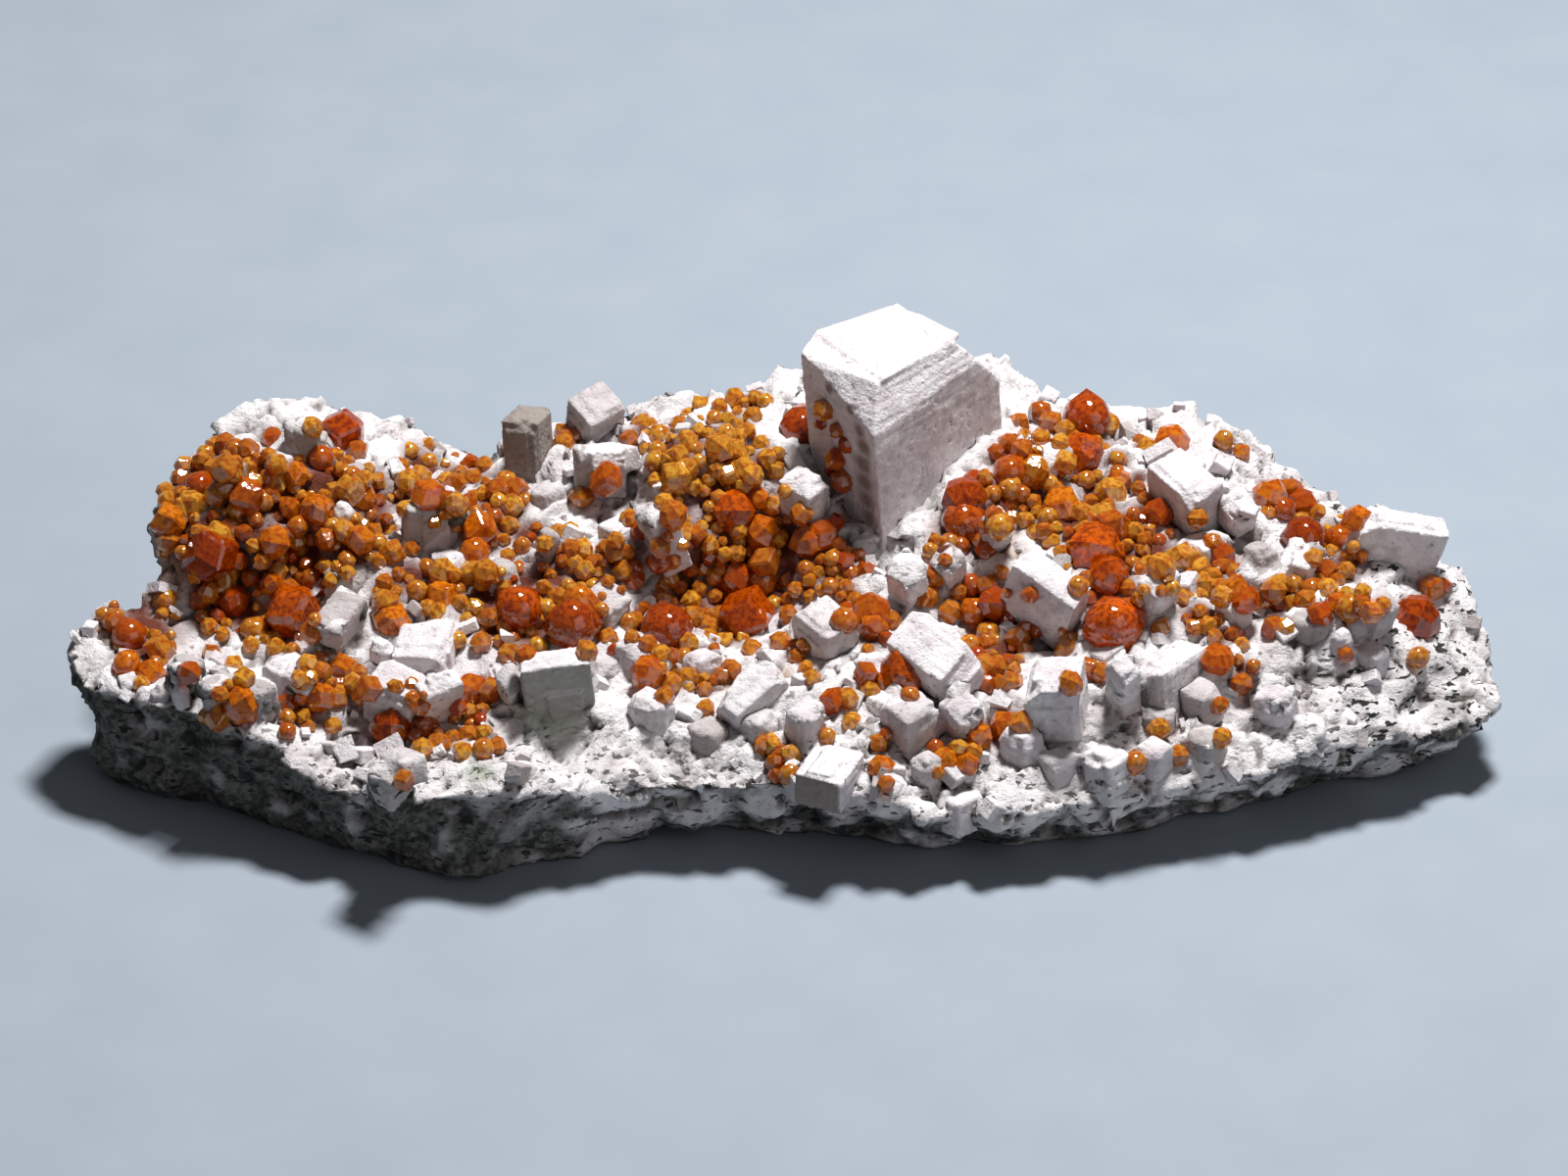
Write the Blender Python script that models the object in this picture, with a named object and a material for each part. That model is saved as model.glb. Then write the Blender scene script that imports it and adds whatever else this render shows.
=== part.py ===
"""Spessartine on matrix: a slab of rock 140 mm wide that carries blocky white feldspar crystals
and crusts of orange garnets. It lies on its broken underside.

The frame: +X to the right, +Y to the back, +Z up, in metres. The slab rests on Z = 0.
Places on the slab are read from the reference view, which looks at its front from above, as
(column, row) in that view's 1600 x 1200 frame. The view ray through a place is followed to the
slab, so each crystal sits where the view shows it.
"""

import math
import random

import bmesh
import bpy
import numpy as np
from mathutils import Matrix, Vector, noise
from mathutils.bvhtree import BVHTree

MM = 0.001

# The reference view
VIEW_RISE = math.radians(33.0)
VIEW_DISTANCE = 750 * MM
VIEW_AIM = Vector((0.0, 7.3, 14.0)) * MM
VIEW_MIDDLE = (800, 600)
PIXEL = 0.096 * MM
VIEW_RIGHT = Vector((1.0, 0.0, 0.0))
VIEW_UP = Vector((0.0, math.sin(VIEW_RISE), math.cos(VIEW_RISE)))
VIEW_AWAY = Vector((0.0, math.cos(VIEW_RISE), -math.sin(VIEW_RISE)))
EYE = VIEW_AIM - VIEW_AWAY * VIEW_DISTANCE

# The slab
CELL = 1.5 * MM
VOXEL = 1.25 * MM
SLAB_TRIANGLES = 2700
FRONT_INSET_LEFT = 3.0 * MM
FRONT_INSET_RIGHT = 7.0 * MM
BACK_INSET = 4.0 * MM
LUMP_SIZE = 6.5 * MM
LUMP_HEIGHT = 2.4 * MM
GRIT_SIZE = 3.0 * MM
GRIT_HEIGHT = 0.5 * MM
BASE_SINK = 1.5 * MM

# Between two pieces that touch
GAP = 0.3 * MM
SLAB_GAP = 0.38 * MM
FENCE_VOXEL = 0.55 * MM
FENCE_TRIANGLES = 8000
ROOT = 4.5 * MM
LIFT = 1.2 * MM
LEAST_SPREAD = 0.2
SEED = 7

# The slab's rim seen from above, in mm, anticlockwise from its left tip
RIM = [
    (-69.5, -3), (-68, -8), (-62, -12.5), (-56, -14), (-51.5, -16.5), (-45.5, -19.5),
    (-41, -22), (-36, -24), (-30, -25), (-24.5, -24), (-18.5, -22), (-13, -20.5),
    (-6.5, -20), (0, -20.5), (6.5, -22), (14, -23), (20.5, -23), (28, -22),
    (35.5, -20), (42, -17.5), (49, -15), (57, -12), (64, -9), (69.5, -5),
    (71, 0), (69, 6), (66, 12), (61, 17.5), (55, 21.5), (49, 25),
    (43, 29.5), (33, 33), (22, 36.5), (12, 37.5), (2, 36), (-8, 33.5), (-18, 32.5),
    (-28, 31.5), (-39, 31.5), (-49, 29), (-57, 24.5), (-61.5, 18), (-62.5, 10),
    (-64, 5), (-68, 1.5),
]

# The top of the slab: (column, row) in the view and depth Y in mm
SPOTS = [
    # crest along the back
    (160, 520, 11), (182, 485, 16), (215, 465, 20), (250, 434, 22), (300, 420, 24),
    (335, 416, 25), (390, 452, 27), (430, 454, 28), (470, 466, 28), (500, 470, 28),
    (545, 450, 27), (600, 440, 28), (650, 436, 28), (700, 422, 28), (740, 412, 29),
    (790, 404, 30), (890, 382, 33), (970, 384, 33), (1020, 410, 30), (1060, 428, 28), (1110, 436, 28),
    (1160, 436, 27), (1235, 434, 25), (1268, 474, 21), (1300, 496, 20), (1340, 520, 18),
    (1375, 536, 16), (1440, 575, 10), (1478, 620, 6), (1492, 662, 3), (1522, 690, -1),
    # left hill, its cliff and the ledge under it
    (250, 480, 14), (320, 470, 15), (210, 520, 8), (270, 530, 6), (340, 530, 8),
    (185, 560, 7), (250, 565, 6), (320, 570, 8), (380, 540, 12), (170, 600, 6),
    (250, 605, 6), (310, 610, 6), (200, 640, 3), (260, 648, 2), (330, 640, 0),
    (100, 640, 0), (150, 645, -1), (77, 668, -4), (130, 690, -8), (190, 705, -11),
    (250, 700, -8), (310, 765, -17), (330, 700, -8), (250, 738, -15),
    # saddle and the slope below it
    (430, 490, 21), (430, 530, 14), (440, 570, 9), (440, 610, 4), (440, 650, -1),
    (430, 700, -7), (440, 750, -13), (370, 745, -12), (480, 778, -20), (420, 792, -22),
    (370, 800, -20), (510, 560, 10), (520, 620, 2), (560, 500, 18), (630, 520, 16),
    (600, 570, 9),
    # garnet mound and the hollow in front of it
    (720, 460, 18), (680, 470, 17), (770, 480, 17), (720, 505, 12), (720, 545, 13),
    (680, 600, 8), (690, 645, 2), (760, 565, 13), (740, 620, 8), (795, 655, 1),
    (800, 595, 9), (830, 500, 17), (820, 440, 24), (870, 560, 11), (905, 572, 9),
    # right half
    (960, 530, 12), (1020, 480, 19), (1040, 445, 25), (1100, 470, 21), (1100, 525, 13),
    (1080, 565, 8), (1000, 605, 4), (1030, 655, -1), (1010, 720, -10), (1000, 772, -16),
    (900, 645, -3), (900, 705, -10), (860, 745, -14), (1150, 545, 10), (1180, 490, 17),
    (1230, 565, 8), (1300, 545, 11), (1350, 555, 10), (1300, 605, 3), (1250, 645, -3),
    (1180, 665, -6), (1100, 705, -11), (1150, 745, -14), (1200, 765, -15),
    (1300, 675, -6), (1380, 655, -4), (1430, 610, 3), (1440, 665, -2), (1395, 695, -7),
    # front slope and front rim
    (620, 700, -8), (560, 700, -9), (680, 745, -13), (560, 765, -17), (750, 705, -9),
    (800, 745, -14), (540, 795, -22), (600, 795, -20), (660, 795, -19), (730, 795, -18.5),
    (800, 795, -19), (870, 805, -20.5), (950, 818, -21), (1020, 822, -21), (1100, 808, -20),
    (1180, 802, -18), (1250, 788, -15.5), (1320, 758, -13), (1400, 735, -9.5),
    (1460, 702, -4), (1480, 730, -6),
]

# Feldspar blocks: the corner nearest the eye, and where its three edges run in the view.
# The third edge is the one that meets the slab.
CRYSTALS = {
    "feldspar_right_end": ((1393, 534), (87, 14), (-4, -20), (-14, 36)),
    "feldspar_right_ridge": ((1212, 513), (-42, -38), (36, -20), (3, 27)),
    "feldspar_right_column": ((1095, 622), (-62, -45), (18, -22), (-8, 24)),
    "feldspar_middle_lid": ((967, 706), (-62, -50), (32, -38), (4, 14)),
    "feldspar_grooved": ((838, 650), (-34, -28), (35, -19), (4, 20)),
    "feldspar_left_slab": ((452, 672), (-52, -2), (10, -40), (2, 12)),
    "feldspar_left_wedge": ((420, 722), (-48, -22), (20, -30), (-2, 22)),
    "feldspar_left_pale": ((436, 714), (38, -16), (-12, -20), (-3, 28)),
    "feldspar_pitted": ((533, 687), (57, -8), (-4, -19), (5, 40)),
    "feldspar_brown_spotted": ((752, 732), (50, -44), (-25, -20), (2, 10)),
    "feldspar_front_dome": ((858, 802), (-46, -12), (24, -32), (0, 20)),
    "feldspar_front_roof": ((1097, 707), (-54, 0), (10, -36), (6, 40)),
    "feldspar_front_pocked": ((1185, 690), (-28, -8), (46, -28), (4, 36)),
    "feldspar_back_peak": ((604, 436), (-26, -29), (36, -22), (-2, 14)),
    "feldspar_back_brown": ((544, 432), (-34, -3), (18, -18), (3, 42)),
}

# The tall upright block: where its front edge meets the slab, its two sides seen from above,
# and its edges' heights
TALL_FOOT = (891, 551)
TALL_LEFT = Vector((-6.7, 14.1, 0.0)) * MM
TALL_RIGHT = Vector((12.7, 9.2, 0.0)) * MM
TALL_EDGE = 13.8 * MM
TALL_RIGHT_EDGE = 7.3 * MM
TALL_FOOT_DROP = 2.0 * MM
TALL_UNDERSIDE = Vector((-0.3, 0.85, -0.3))
# Rise over the top of the front edge, and inset from the sides
TALL_STEPS = [
    (-30 * MM, 0.0), (0.0, 0.0), (0.9 * MM, 0.9 * MM), (1.7 * MM, 1.0 * MM),
    (2.6 * MM, 1.9 * MM), (3.4 * MM, 2.0 * MM), (4.2 * MM, 2.6 * MM),
]

# Smaller blocks of the same feldspar, grown into the slab
INGROWN = [
    ((592, 470), (48, -3), (-6, -16), (0, 28)), ((664, 540), (-16, -22), (28, -14), (12, 40)),
    ((418, 522), (50, -6), (-8, -12), (0, 36)), ((345, 650), (-28, -14), (28, -40), (0, 12)),
    ((350, 592), (-18, -8), (30, -14), (0, 8)), ((262, 708), (-22, -12), (20, -10), (2, 24)),
    ((215, 705), (-12, -8), (24, -14), (2, 18)), ((180, 684), (-10, -12), (26, -6), (-2, 16)),
    ((310, 710), (-20, -24), (28, -18), (-2, 12)), ((622, 632), (-28, -24), (24, -22), (-2, 8)),
    ((672, 684), (-44, -26), (20, -16), (-2, 10)), ((822, 737), (-20, -12), (22, -16), (-2, 18)),
    ((925, 600), (-22, -18), (20, -20), (2, 16)), ((965, 585), (-18, -16), (20, -18), (2, 14)),
    ((1262, 532), (-18, -24), (24, -14), (-2, 12)), ((1180, 612), (-20, -18), (26, -24), (-4, 20)),
    ((1230, 562), (-26, -12), (24, -12), (0, 8)), ((1335, 582), (-28, -12), (16, -22), (-2, 8)),
    ((1300, 602), (-40, -18), (20, -28), (0, 8)), ((1405, 636), (-22, -26), (24, -18), (-4, 14)),
    ((1310, 722), (-32, -8), (14, -24), (2, 16)), ((1130, 782), (-26, -12), (26, -12), (2, 22)),
    ((1232, 764), (-28, -12), (20, -18), (2, 20)), ((980, 742), (-20, -24), (24, -20), (0, 12)),
    ((400, 806), (-24, -16), (20, -20), (0, 16)), ((1145, 700), (-18, -22), (18, -14), (2, 30)),
    ((520, 712), (-16, -22), (16, -20), (2, 10)), ((1345, 640), (-34, -14), (24, -16), (0, 10)),
    ((230, 478), (-14, -8), (22, -6), (0, 20)), ((310, 445), (-22, -10), (16, -12), (0, 18)),
]

# Garnets that stand alone: column, row and width in mm
GARNETS = {
    "garnet_hill_top": (346, 440, 4.2), "garnet_under_hill_left": (222, 568, 5.4),
    "garnet_under_hill_right": (302, 624, 5.2), "garnet_ledge_back": (142, 622, 4.2),
    "garnet_ledge_front": (246, 716, 3.4), "garnet_saddle_upper": (487, 540, 3.5),
    "garnet_saddle_low": (430, 502, 3.4), "garnet_left_orange": (399, 634, 3.5),
    "garnet_left_hollow": (396, 742, 3.8), "garnet_dark_lilac": (522, 630, 4.8),
    "garnet_slab_red": (619, 486, 3.2), "garnet_middle_dark": (682, 644, 5.0),
    "garnet_mound_foot": (746, 518, 4.4), "garnet_mound_orange": (780, 546, 3.7),
    "garnet_hollow_deep": (758, 632, 4.6), "garnet_beside_tall": (824, 434, 3.6),
    "garnet_on_lid": (922, 688, 4.3), "garnet_front_honey": (898, 784, 3.0),
    "garnet_ridge_top": (1108, 434, 5.2), "garnet_right_dark": (1120, 576, 5.6),
    "garnet_right_faceted": (1134, 640, 5.4), "garnet_valley_orange": (1026, 744, 3.0),
    "garnet_ridge_orange": (1300, 508, 3.6), "garnet_end_arch": (1334, 552, 4.2),
    "garnet_end_dark": (1368, 558, 3.6), "garnet_end_ball": (1446, 630, 4.4),
}

# Crusts of garnets: where each runs in the view, as a line of places, and how wide it is
CRUSTS = {
    "garnet_crust_hill": ([(185, 500), (240, 505), (300, 515), (335, 500), (375, 490)], 46),
    "garnet_crust_hill_foot": ([(275, 560), (320, 565), (362, 545)], 30),
    "garnet_crust_left_flank": ([(180, 535), (178, 560)], 34),
    "garnet_crust_ledge": ([(120, 650), (150, 678), (190, 690)], 26),
    "garnet_crust_front_left": ([(300, 735), (325, 705), (350, 685)], 24),
    "garnet_crust_saddle": ([(405, 520), (415, 545)], 24),
    "garnet_crust_slope": ([(395, 600), (440, 604), (480, 610)], 32),
    "garnet_crust_red_bank": ([(490, 640), (560, 632), (590, 640)], 34),
    "garnet_crust_middle": ([(500, 520), (530, 535)], 26),
    "garnet_crust_fan": ([(540, 580), (548, 598)], 28),
    "garnet_crust_mound": ([(672, 480), (690, 450), (725, 440), (745, 430)], 32),
    "garnet_crust_mound_front": ([(690, 500), (730, 494), (780, 500)], 24),
    "garnet_crust_hollow": ([(750, 590), (785, 600), (820, 585), (865, 590)], 40),
    "garnet_crust_beside_lid": ([(880, 625), (890, 650)], 30),
    "garnet_crust_behind_tall": ([(1035, 475), (1000, 505), (970, 535)], 34),
    "garnet_crust_ridge": ([(1100, 475), (1085, 512), (1135, 530)], 36),
    "garnet_crust_valley": ([(1005, 590), (1010, 640), (1020, 680)], 38),
}
CRUST_GARNET = 3.1 * MM
CRUST_STEP = 25

WHITE_FELDSPAR = (0.80, 0.77, 0.76, 1.0)
ROCK_GREY = (0.60, 0.59, 0.57, 1.0)
GARNET_ORANGE = (0.72, 0.20, 0.02, 1.0)


# Reading the view


def view_ray(column, row):
    """The direction from the eye through a place in the view."""
    across = (column - VIEW_MIDDLE[0]) * PIXEL
    down = (row - VIEW_MIDDLE[1]) * PIXEL
    return (VIEW_AIM + VIEW_RIGHT * across - VIEW_UP * down - EYE).normalized()


def at_depth(column, row, depth):
    """The point of the view ray whose Y is depth."""
    ray = view_ray(column, row)
    return EYE + ray * ((depth - EYE.y) / ray.y)


def in_view(edge, away):
    """A short vector of the view, in pixels, with its distance away from the eye, as a world vector."""
    return (VIEW_RIGHT * edge[0] - VIEW_UP * edge[1] + VIEW_AWAY * away) * PIXEL


def box_edges(first, second, third):
    """The three edges of a square corner that is seen with these edges in the view."""
    dots = []
    for one, other in ((first, second), (first, third), (second, third)):
        dot = one[0] * other[0] + one[1] * other[1]
        dots.append(max(-dot, LEAST_SPREAD * math.hypot(*one) * math.hypot(*other)))
    return (
        in_view(first, math.sqrt(dots[0] * dots[1] / dots[2])),
        in_view(second, math.sqrt(dots[0] * dots[2] / dots[1])),
        in_view(third, math.sqrt(dots[1] * dots[2] / dots[0])),
    )


# The slab's form


class SlabTop:
    """The height of the slab's top over the plan, through all the spots."""

    def __init__(self, spots):
        points = np.array([at_depth(col, row, y * MM)[:] for col, row, y in spots])
        self.plan = points[:, :2]
        count = len(points)
        system = np.zeros((count + 3, count + 3))
        system[:count, :count] = self.spread(self.plan)
        system[:count, count] = 1.0
        system[:count, count + 1 :] = self.plan
        system[count:, :count] = system[:count, count:].T
        target = np.zeros(count + 3)
        target[:count] = points[:, 2]
        self.weights = np.linalg.solve(system, target)

    def spread(self, places):
        return np.linalg.norm(places[:, None, :] - self.plan[None, :, :], axis=2)

    def heights(self, places):
        places = np.asarray(places, float).reshape(-1, 2)
        count = len(self.plan)
        flat = self.weights[count] + places @ self.weights[count + 1 :]
        return self.spread(places) @ self.weights[:count] + flat

    def meet(self, column, row):
        """Where the view ray first goes below the top."""
        ray = view_ray(column, row)
        depths = np.linspace(-30 * MM, 36 * MM, 265)
        points = [EYE + ray * ((depth - EYE.y) / ray.y) for depth in depths]
        tops = self.heights([point[:2] for point in points])
        for point, top in zip(points, tops):
            if point.z < top:
                return point
        return points[-1]


def smooth_rim(points, parts=6):
    """The rim as a closed curve through its points."""
    count = len(points)
    curve = []
    for i in range(count):
        p0, p1, p2, p3 = (np.array(points[(i + k) % count], float) for k in (-1, 0, 1, 2))
        for step in range(parts):
            t = step / parts
            curve.append(
                0.5
                * (
                    2 * p1
                    + (p2 - p0) * t
                    + (2 * p0 - 5 * p1 + 4 * p2 - p3) * t * t
                    + (3 * p1 - p0 - 3 * p2 + p3) * t * t * t
                )
            )
    return np.array(curve) * MM


def to_rim(places, rim):
    """For each place: its distance to the rim, positive inside, and the rim's nearest point."""
    start = rim
    run = np.roll(rim, -1, axis=0) - start
    offset = places[:, None, :] - start[None, :, :]
    share = np.clip((offset * run).sum(axis=2) / (run * run).sum(axis=1), 0.0, 1.0)
    foot = start[None, :, :] + share[:, :, None] * run[None, :, :]
    gap = np.linalg.norm(places[:, None, :] - foot, axis=2)
    nearest = gap.argmin(axis=1)
    rows = np.arange(len(places))
    y, x = places[:, 1][:, None], places[:, 0][:, None]
    y0, y1 = start[:, 1][None, :], (start + run)[:, 1][None, :]
    crosses = (y0 > y) != (y1 > y)
    slope = np.where(run[:, 1] == 0, 1e-12, run[:, 1])
    at_x = start[:, 0] + (y - y0) * run[:, 0] / slope
    inside = (crosses & (x < at_x)).sum(axis=1) % 2 == 1
    distance = np.where(inside, gap[rows, nearest], -gap[rows, nearest])
    return distance, foot[rows, nearest]


def undercut(places):
    """How far the underside's flat part stands back from the rim."""
    right = np.clip((places[:, 0] + 22 * MM) / (12 * MM), 0.0, 1.0)
    front = FRONT_INSET_LEFT + (FRONT_INSET_RIGHT - FRONT_INSET_LEFT) * right
    behind = np.clip((places[:, 1] - 2 * MM) / (10 * MM), 0.0, 1.0)
    return front * (1 - behind) + BACK_INSET * behind


def slab_blank(top, rim):
    """A closed shell: a trimmed grid laid over the top, and its copy laid under it."""
    mesh = bmesh.new()
    size = (rim.max(axis=0) - rim.min(axis=0)) / 2 + CELL
    middle = (rim.max(axis=0) + rim.min(axis=0)) / 2
    bmesh.ops.create_grid(
        mesh,
        x_segments=round(2 * size[0] / CELL),
        y_segments=round(2 * size[1] / CELL),
        size=1.0,
        matrix=Matrix.Translation((*middle, 0.0)) @ Matrix.Diagonal((*size, 1.0, 1.0)),
    )
    places = np.array([v.co[:2] for v in mesh.verts])
    distance, _ = to_rim(places, rim)
    outside = [v for v, gap in zip(mesh.verts, distance) if gap < CELL * 0.4]
    bmesh.ops.delete(mesh, geom=outside, context="VERTS")
    border = [v for v in mesh.verts if v.is_boundary]
    _, feet = to_rim(np.array([v.co[:2] for v in border]), rim)
    for vertex, foot in zip(border, feet):
        vertex.co = (*foot, 0.0)
    upper = list(mesh.verts)
    below = bmesh.ops.duplicate(mesh, geom=mesh.verts[:] + mesh.edges[:] + mesh.faces[:])
    lower_faces = [item for item in below["geom"] if isinstance(item, bmesh.types.BMFace)]
    lower = [item for item in below["geom"] if isinstance(item, bmesh.types.BMVert)]
    bmesh.ops.reverse_faces(mesh, faces=lower_faces)
    for vertex, height in zip(upper, top.heights([v.co[:2] for v in upper])):
        vertex.co.z = height
    places = np.array([v.co[:2] for v in lower])
    distance, feet = to_rim(places, rim)
    share = np.clip(1.0 - distance / undercut(places), 0.0, 1.0)
    heights = top.heights(feet) * share - BASE_SINK * (1.0 - share)
    for vertex, height in zip(lower, heights):
        vertex.co.z = height
    bmesh.ops.remove_doubles(mesh, verts=mesh.verts, dist=0.02 * MM)
    face_out(mesh)
    return mesh


# Tools for meshes


def face_out(mesh):
    """Turns all faces of a closed mesh outwards."""
    bmesh.ops.recalc_face_normals(mesh, faces=mesh.faces)
    if mesh.calc_volume(signed=True) < 0:
        bmesh.ops.reverse_faces(mesh, faces=mesh.faces)


def new_object(name, mesh):
    data = bpy.data.meshes.new(name)
    mesh.to_mesh(data)
    mesh.free()
    obj = bpy.data.objects.new(name, data)
    bpy.context.scene.collection.objects.link(obj)
    return obj


def apply_modifiers(obj):
    graph = bpy.context.evaluated_depsgraph_get()
    data = bpy.data.meshes.new_from_object(obj.evaluated_get(graph))
    obj.modifiers.clear()
    obj.data = data


def drop(*objects):
    for obj in objects:
        bpy.data.objects.remove(obj)


def combine(obj, tool, operation):
    """Cuts the tool from the object or joins it on, and keeps the result."""
    modifier = obj.modifiers.new(operation.title(), "BOOLEAN")
    modifier.operation = operation
    modifier.solver = "EXACT"
    modifier.object = tool
    apply_modifiers(obj)


def edit(obj):
    mesh = bmesh.new()
    mesh.from_mesh(obj.data)
    return mesh


def put_back(mesh, obj):
    mesh.to_mesh(obj.data)
    mesh.free()
    obj.data.update()


def grown_copy(obj, by):
    """A copy whose surface stands proud of the object's by this much."""
    mesh = edit(obj)
    bmesh.ops.triangulate(mesh, faces=mesh.faces)
    mesh.normal_update()
    moves = [(v, v.normal.copy() * by * min(v.calc_shell_factor(), 1.6)) for v in mesh.verts]
    for vertex, move in moves:
        vertex.co += move
    copy = new_object(obj.name + "_grown", mesh)
    even = copy.modifiers.new("Even", "REMESH")
    even.mode = "VOXEL"
    even.voxel_size = FENCE_VOXEL
    apply_modifiers(copy)
    thin = copy.modifiers.new("Facets", "DECIMATE")
    thin.ratio = FENCE_TRIANGLES / (2 * len(copy.data.polygons))
    apply_modifiers(copy)
    copy.hide_render = True
    copy.display_type = "WIRE"
    return copy


def keep_largest(obj):
    """Drops loose crumbs that a cut left, so that the object is one body."""
    mesh = edit(obj)
    left = set(mesh.faces)
    islands = []
    while left:
        island = set()
        reach = [left.pop()]
        while reach:
            face = reach.pop()
            island.add(face)
            for edge in face.edges:
                for near in edge.link_faces:
                    if near in left:
                        left.remove(near)
                        reach.append(near)
        islands.append(island)
    largest = max(islands, key=lambda island: sum(face.calc_area() for face in island))
    crumbs = [face for island in islands if island is not largest for face in island]
    bmesh.ops.delete(mesh, geom=crumbs, context="FACES")
    put_back(mesh, obj)


def boxes_meet(one, other):
    for axis in range(3):
        lows = [min(v.co[axis] for v in obj.data.vertices) for obj in (one, other)]
        highs = [max(v.co[axis] for v in obj.data.vertices) for obj in (one, other)]
        if lows[0] > highs[1] or lows[1] > highs[0]:
            return False
    return True


def cut_clear(obj, fences):
    """Cuts the object back from everything that was placed before it."""
    for fence in fences:
        if boxes_meet(obj, fence):
            combine(obj, fence, "DIFFERENCE")
    keep_largest(obj)


# The pieces


def make_slab(top, rim):
    slab = new_object("matrix_slab", slab_blank(top, rim))
    remesh = slab.modifiers.new("Even", "REMESH")
    remesh.mode = "VOXEL"
    remesh.voxel_size = VOXEL
    apply_modifiers(slab)
    mesh = edit(slab)
    mesh.normal_update()
    moves = []
    for vertex in mesh.verts:
        nearest = noise.voronoi(vertex.co / LUMP_SIZE)[0][0]
        lumps = (0.45 - nearest) * LUMP_HEIGHT
        grit = noise.noise(vertex.co / GRIT_SIZE) * GRIT_HEIGHT
        moves.append(vertex.normal * (lumps + grit))
    for vertex, move in zip(mesh.verts, moves):
        vertex.co += move
    put_back(mesh, slab)
    thin = slab.modifiers.new("Facets", "DECIMATE")
    thin.ratio = SLAB_TRIANGLES / (2 * len(slab.data.polygons))
    apply_modifiers(slab)
    return slab


def flatten_base(slab):
    """Cuts the slab level at Z = 0 and closes the cut."""
    mesh = edit(slab)
    whole = mesh.verts[:] + mesh.edges[:] + mesh.faces[:]
    cut = bmesh.ops.bisect_plane(
        mesh, geom=whole, plane_co=(0, 0, 0), plane_no=(0, 0, 1), clear_inner=True
    )
    edges = [item for item in cut["geom_cut"] if isinstance(item, bmesh.types.BMEdge)]
    bmesh.ops.triangle_fill(mesh, edges=edges, use_beauty=True, use_dissolve=False)
    face_out(mesh)
    put_back(mesh, slab)


def block_mesh(top, corner, edges, by=0.0):
    """One feldspar block, grown by this much on every face."""
    first, second, third = box_edges(*edges)
    column = corner[0] + edges[2][0]
    row = corner[1] + edges[2][1]
    foot = top.meet(column, row)
    start = foot - third - view_ray(column, row) * LIFT
    third = third + third.normalized() * ROOT
    mesh = bmesh.new()
    bmesh.ops.create_cube(mesh, size=1.0)
    middle = start + (first + second + third) / 2
    lengths = [edge.length for edge in (first, second, third)]
    for vertex in mesh.verts:
        place = middle.copy()
        for axis, edge in enumerate((first, second, third)):
            reach = vertex.co[axis] * (1 + 2 * by / lengths[axis])
            place += edge * reach
        vertex.co = place
    face_out(mesh)
    return mesh


def tall_block_mesh(top, by=0.0):
    """The tall crystal: an upright column, stepped in to a small flat top, with a slanting foot."""
    foot = top.meet(*TALL_FOOT)
    corner = foot + Vector((0.0, 0.0, TALL_EDGE))
    mesh = bmesh.new()
    rings = []
    for rise, inset in TALL_STEPS:
        ring = []
        for along_left, along_right in ((0, 0), (0, 1), (1, 1), (1, 0)):
            reach_left = inset + along_left * (TALL_LEFT.length - 2 * inset)
            reach_right = inset + along_right * (TALL_RIGHT.length - 2 * inset)
            place = corner + TALL_LEFT.normalized() * reach_left
            place += TALL_RIGHT.normalized() * reach_right
            place.z += rise
            ring.append(mesh.verts.new(place))
        rings.append(ring)
    for low, high in zip(rings, rings[1:]):
        for k in range(4):
            mesh.faces.new((low[k], low[(k + 1) % 4], high[(k + 1) % 4], high[k]))
    mesh.faces.new(rings[0])
    mesh.faces.new(rings[-1])
    near = foot - Vector((0.0, 0.0, TALL_FOOT_DROP))
    far = corner + TALL_RIGHT - Vector((0.0, 0.0, TALL_RIGHT_EDGE))
    facing = (far - near).cross(TALL_UNDERSIDE)
    if facing.z > 0:
        facing.negate()
    cut = bmesh.ops.bisect_plane(
        mesh,
        geom=mesh.verts[:] + mesh.edges[:] + mesh.faces[:],
        plane_co=near,
        plane_no=facing,
        clear_outer=True,
    )
    edges = [item for item in cut["geom_cut"] if isinstance(item, bmesh.types.BMEdge)]
    bmesh.ops.contextual_create(mesh, geom=edges)
    face_out(mesh)
    if by:
        mesh.normal_update()
        moves = [v.normal * by * v.calc_shell_factor() for v in mesh.verts]
        for vertex, move in zip(mesh.verts, moves):
            vertex.co += move
    return mesh


def garnet_mesh(centre, width, turn, rich, by=0.0):
    """A garnet: a rhombic dodecahedron, or a trapezohedron where it is rich in faces."""
    mesh = bmesh.new()
    reach = width / 2 + by
    bmesh.ops.create_cube(mesh, size=4 * width)
    if rich:
        normals = [
            Vector((x, y, z)).normalized()
            for x in (-2, -1, 1, 2) for y in (-2, -1, 1, 2) for z in (-2, -1, 1, 2)
            if abs(x * y * z) == 2
        ]
    else:
        normals = [
            Vector(n).normalized()
            for a in (-1, 1) for b in (-1, 1)
            for n in ((a, b, 0), (a, 0, b), (0, a, b))
        ]
    for normal in normals:
        cut = bmesh.ops.bisect_plane(
            mesh,
            geom=mesh.verts[:] + mesh.edges[:] + mesh.faces[:],
            plane_co=normal * reach,
            plane_no=normal,
            clear_outer=True,
        )
        edges = [item for item in cut["geom_cut"] if isinstance(item, bmesh.types.BMEdge)]
        if edges:
            bmesh.ops.contextual_create(mesh, geom=edges)
    bmesh.ops.remove_doubles(mesh, verts=mesh.verts, dist=0.01 * MM)
    bmesh.ops.transform(mesh, matrix=Matrix.Translation(centre) @ turn.to_4x4(), verts=mesh.verts)
    face_out(mesh)
    return mesh


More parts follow.
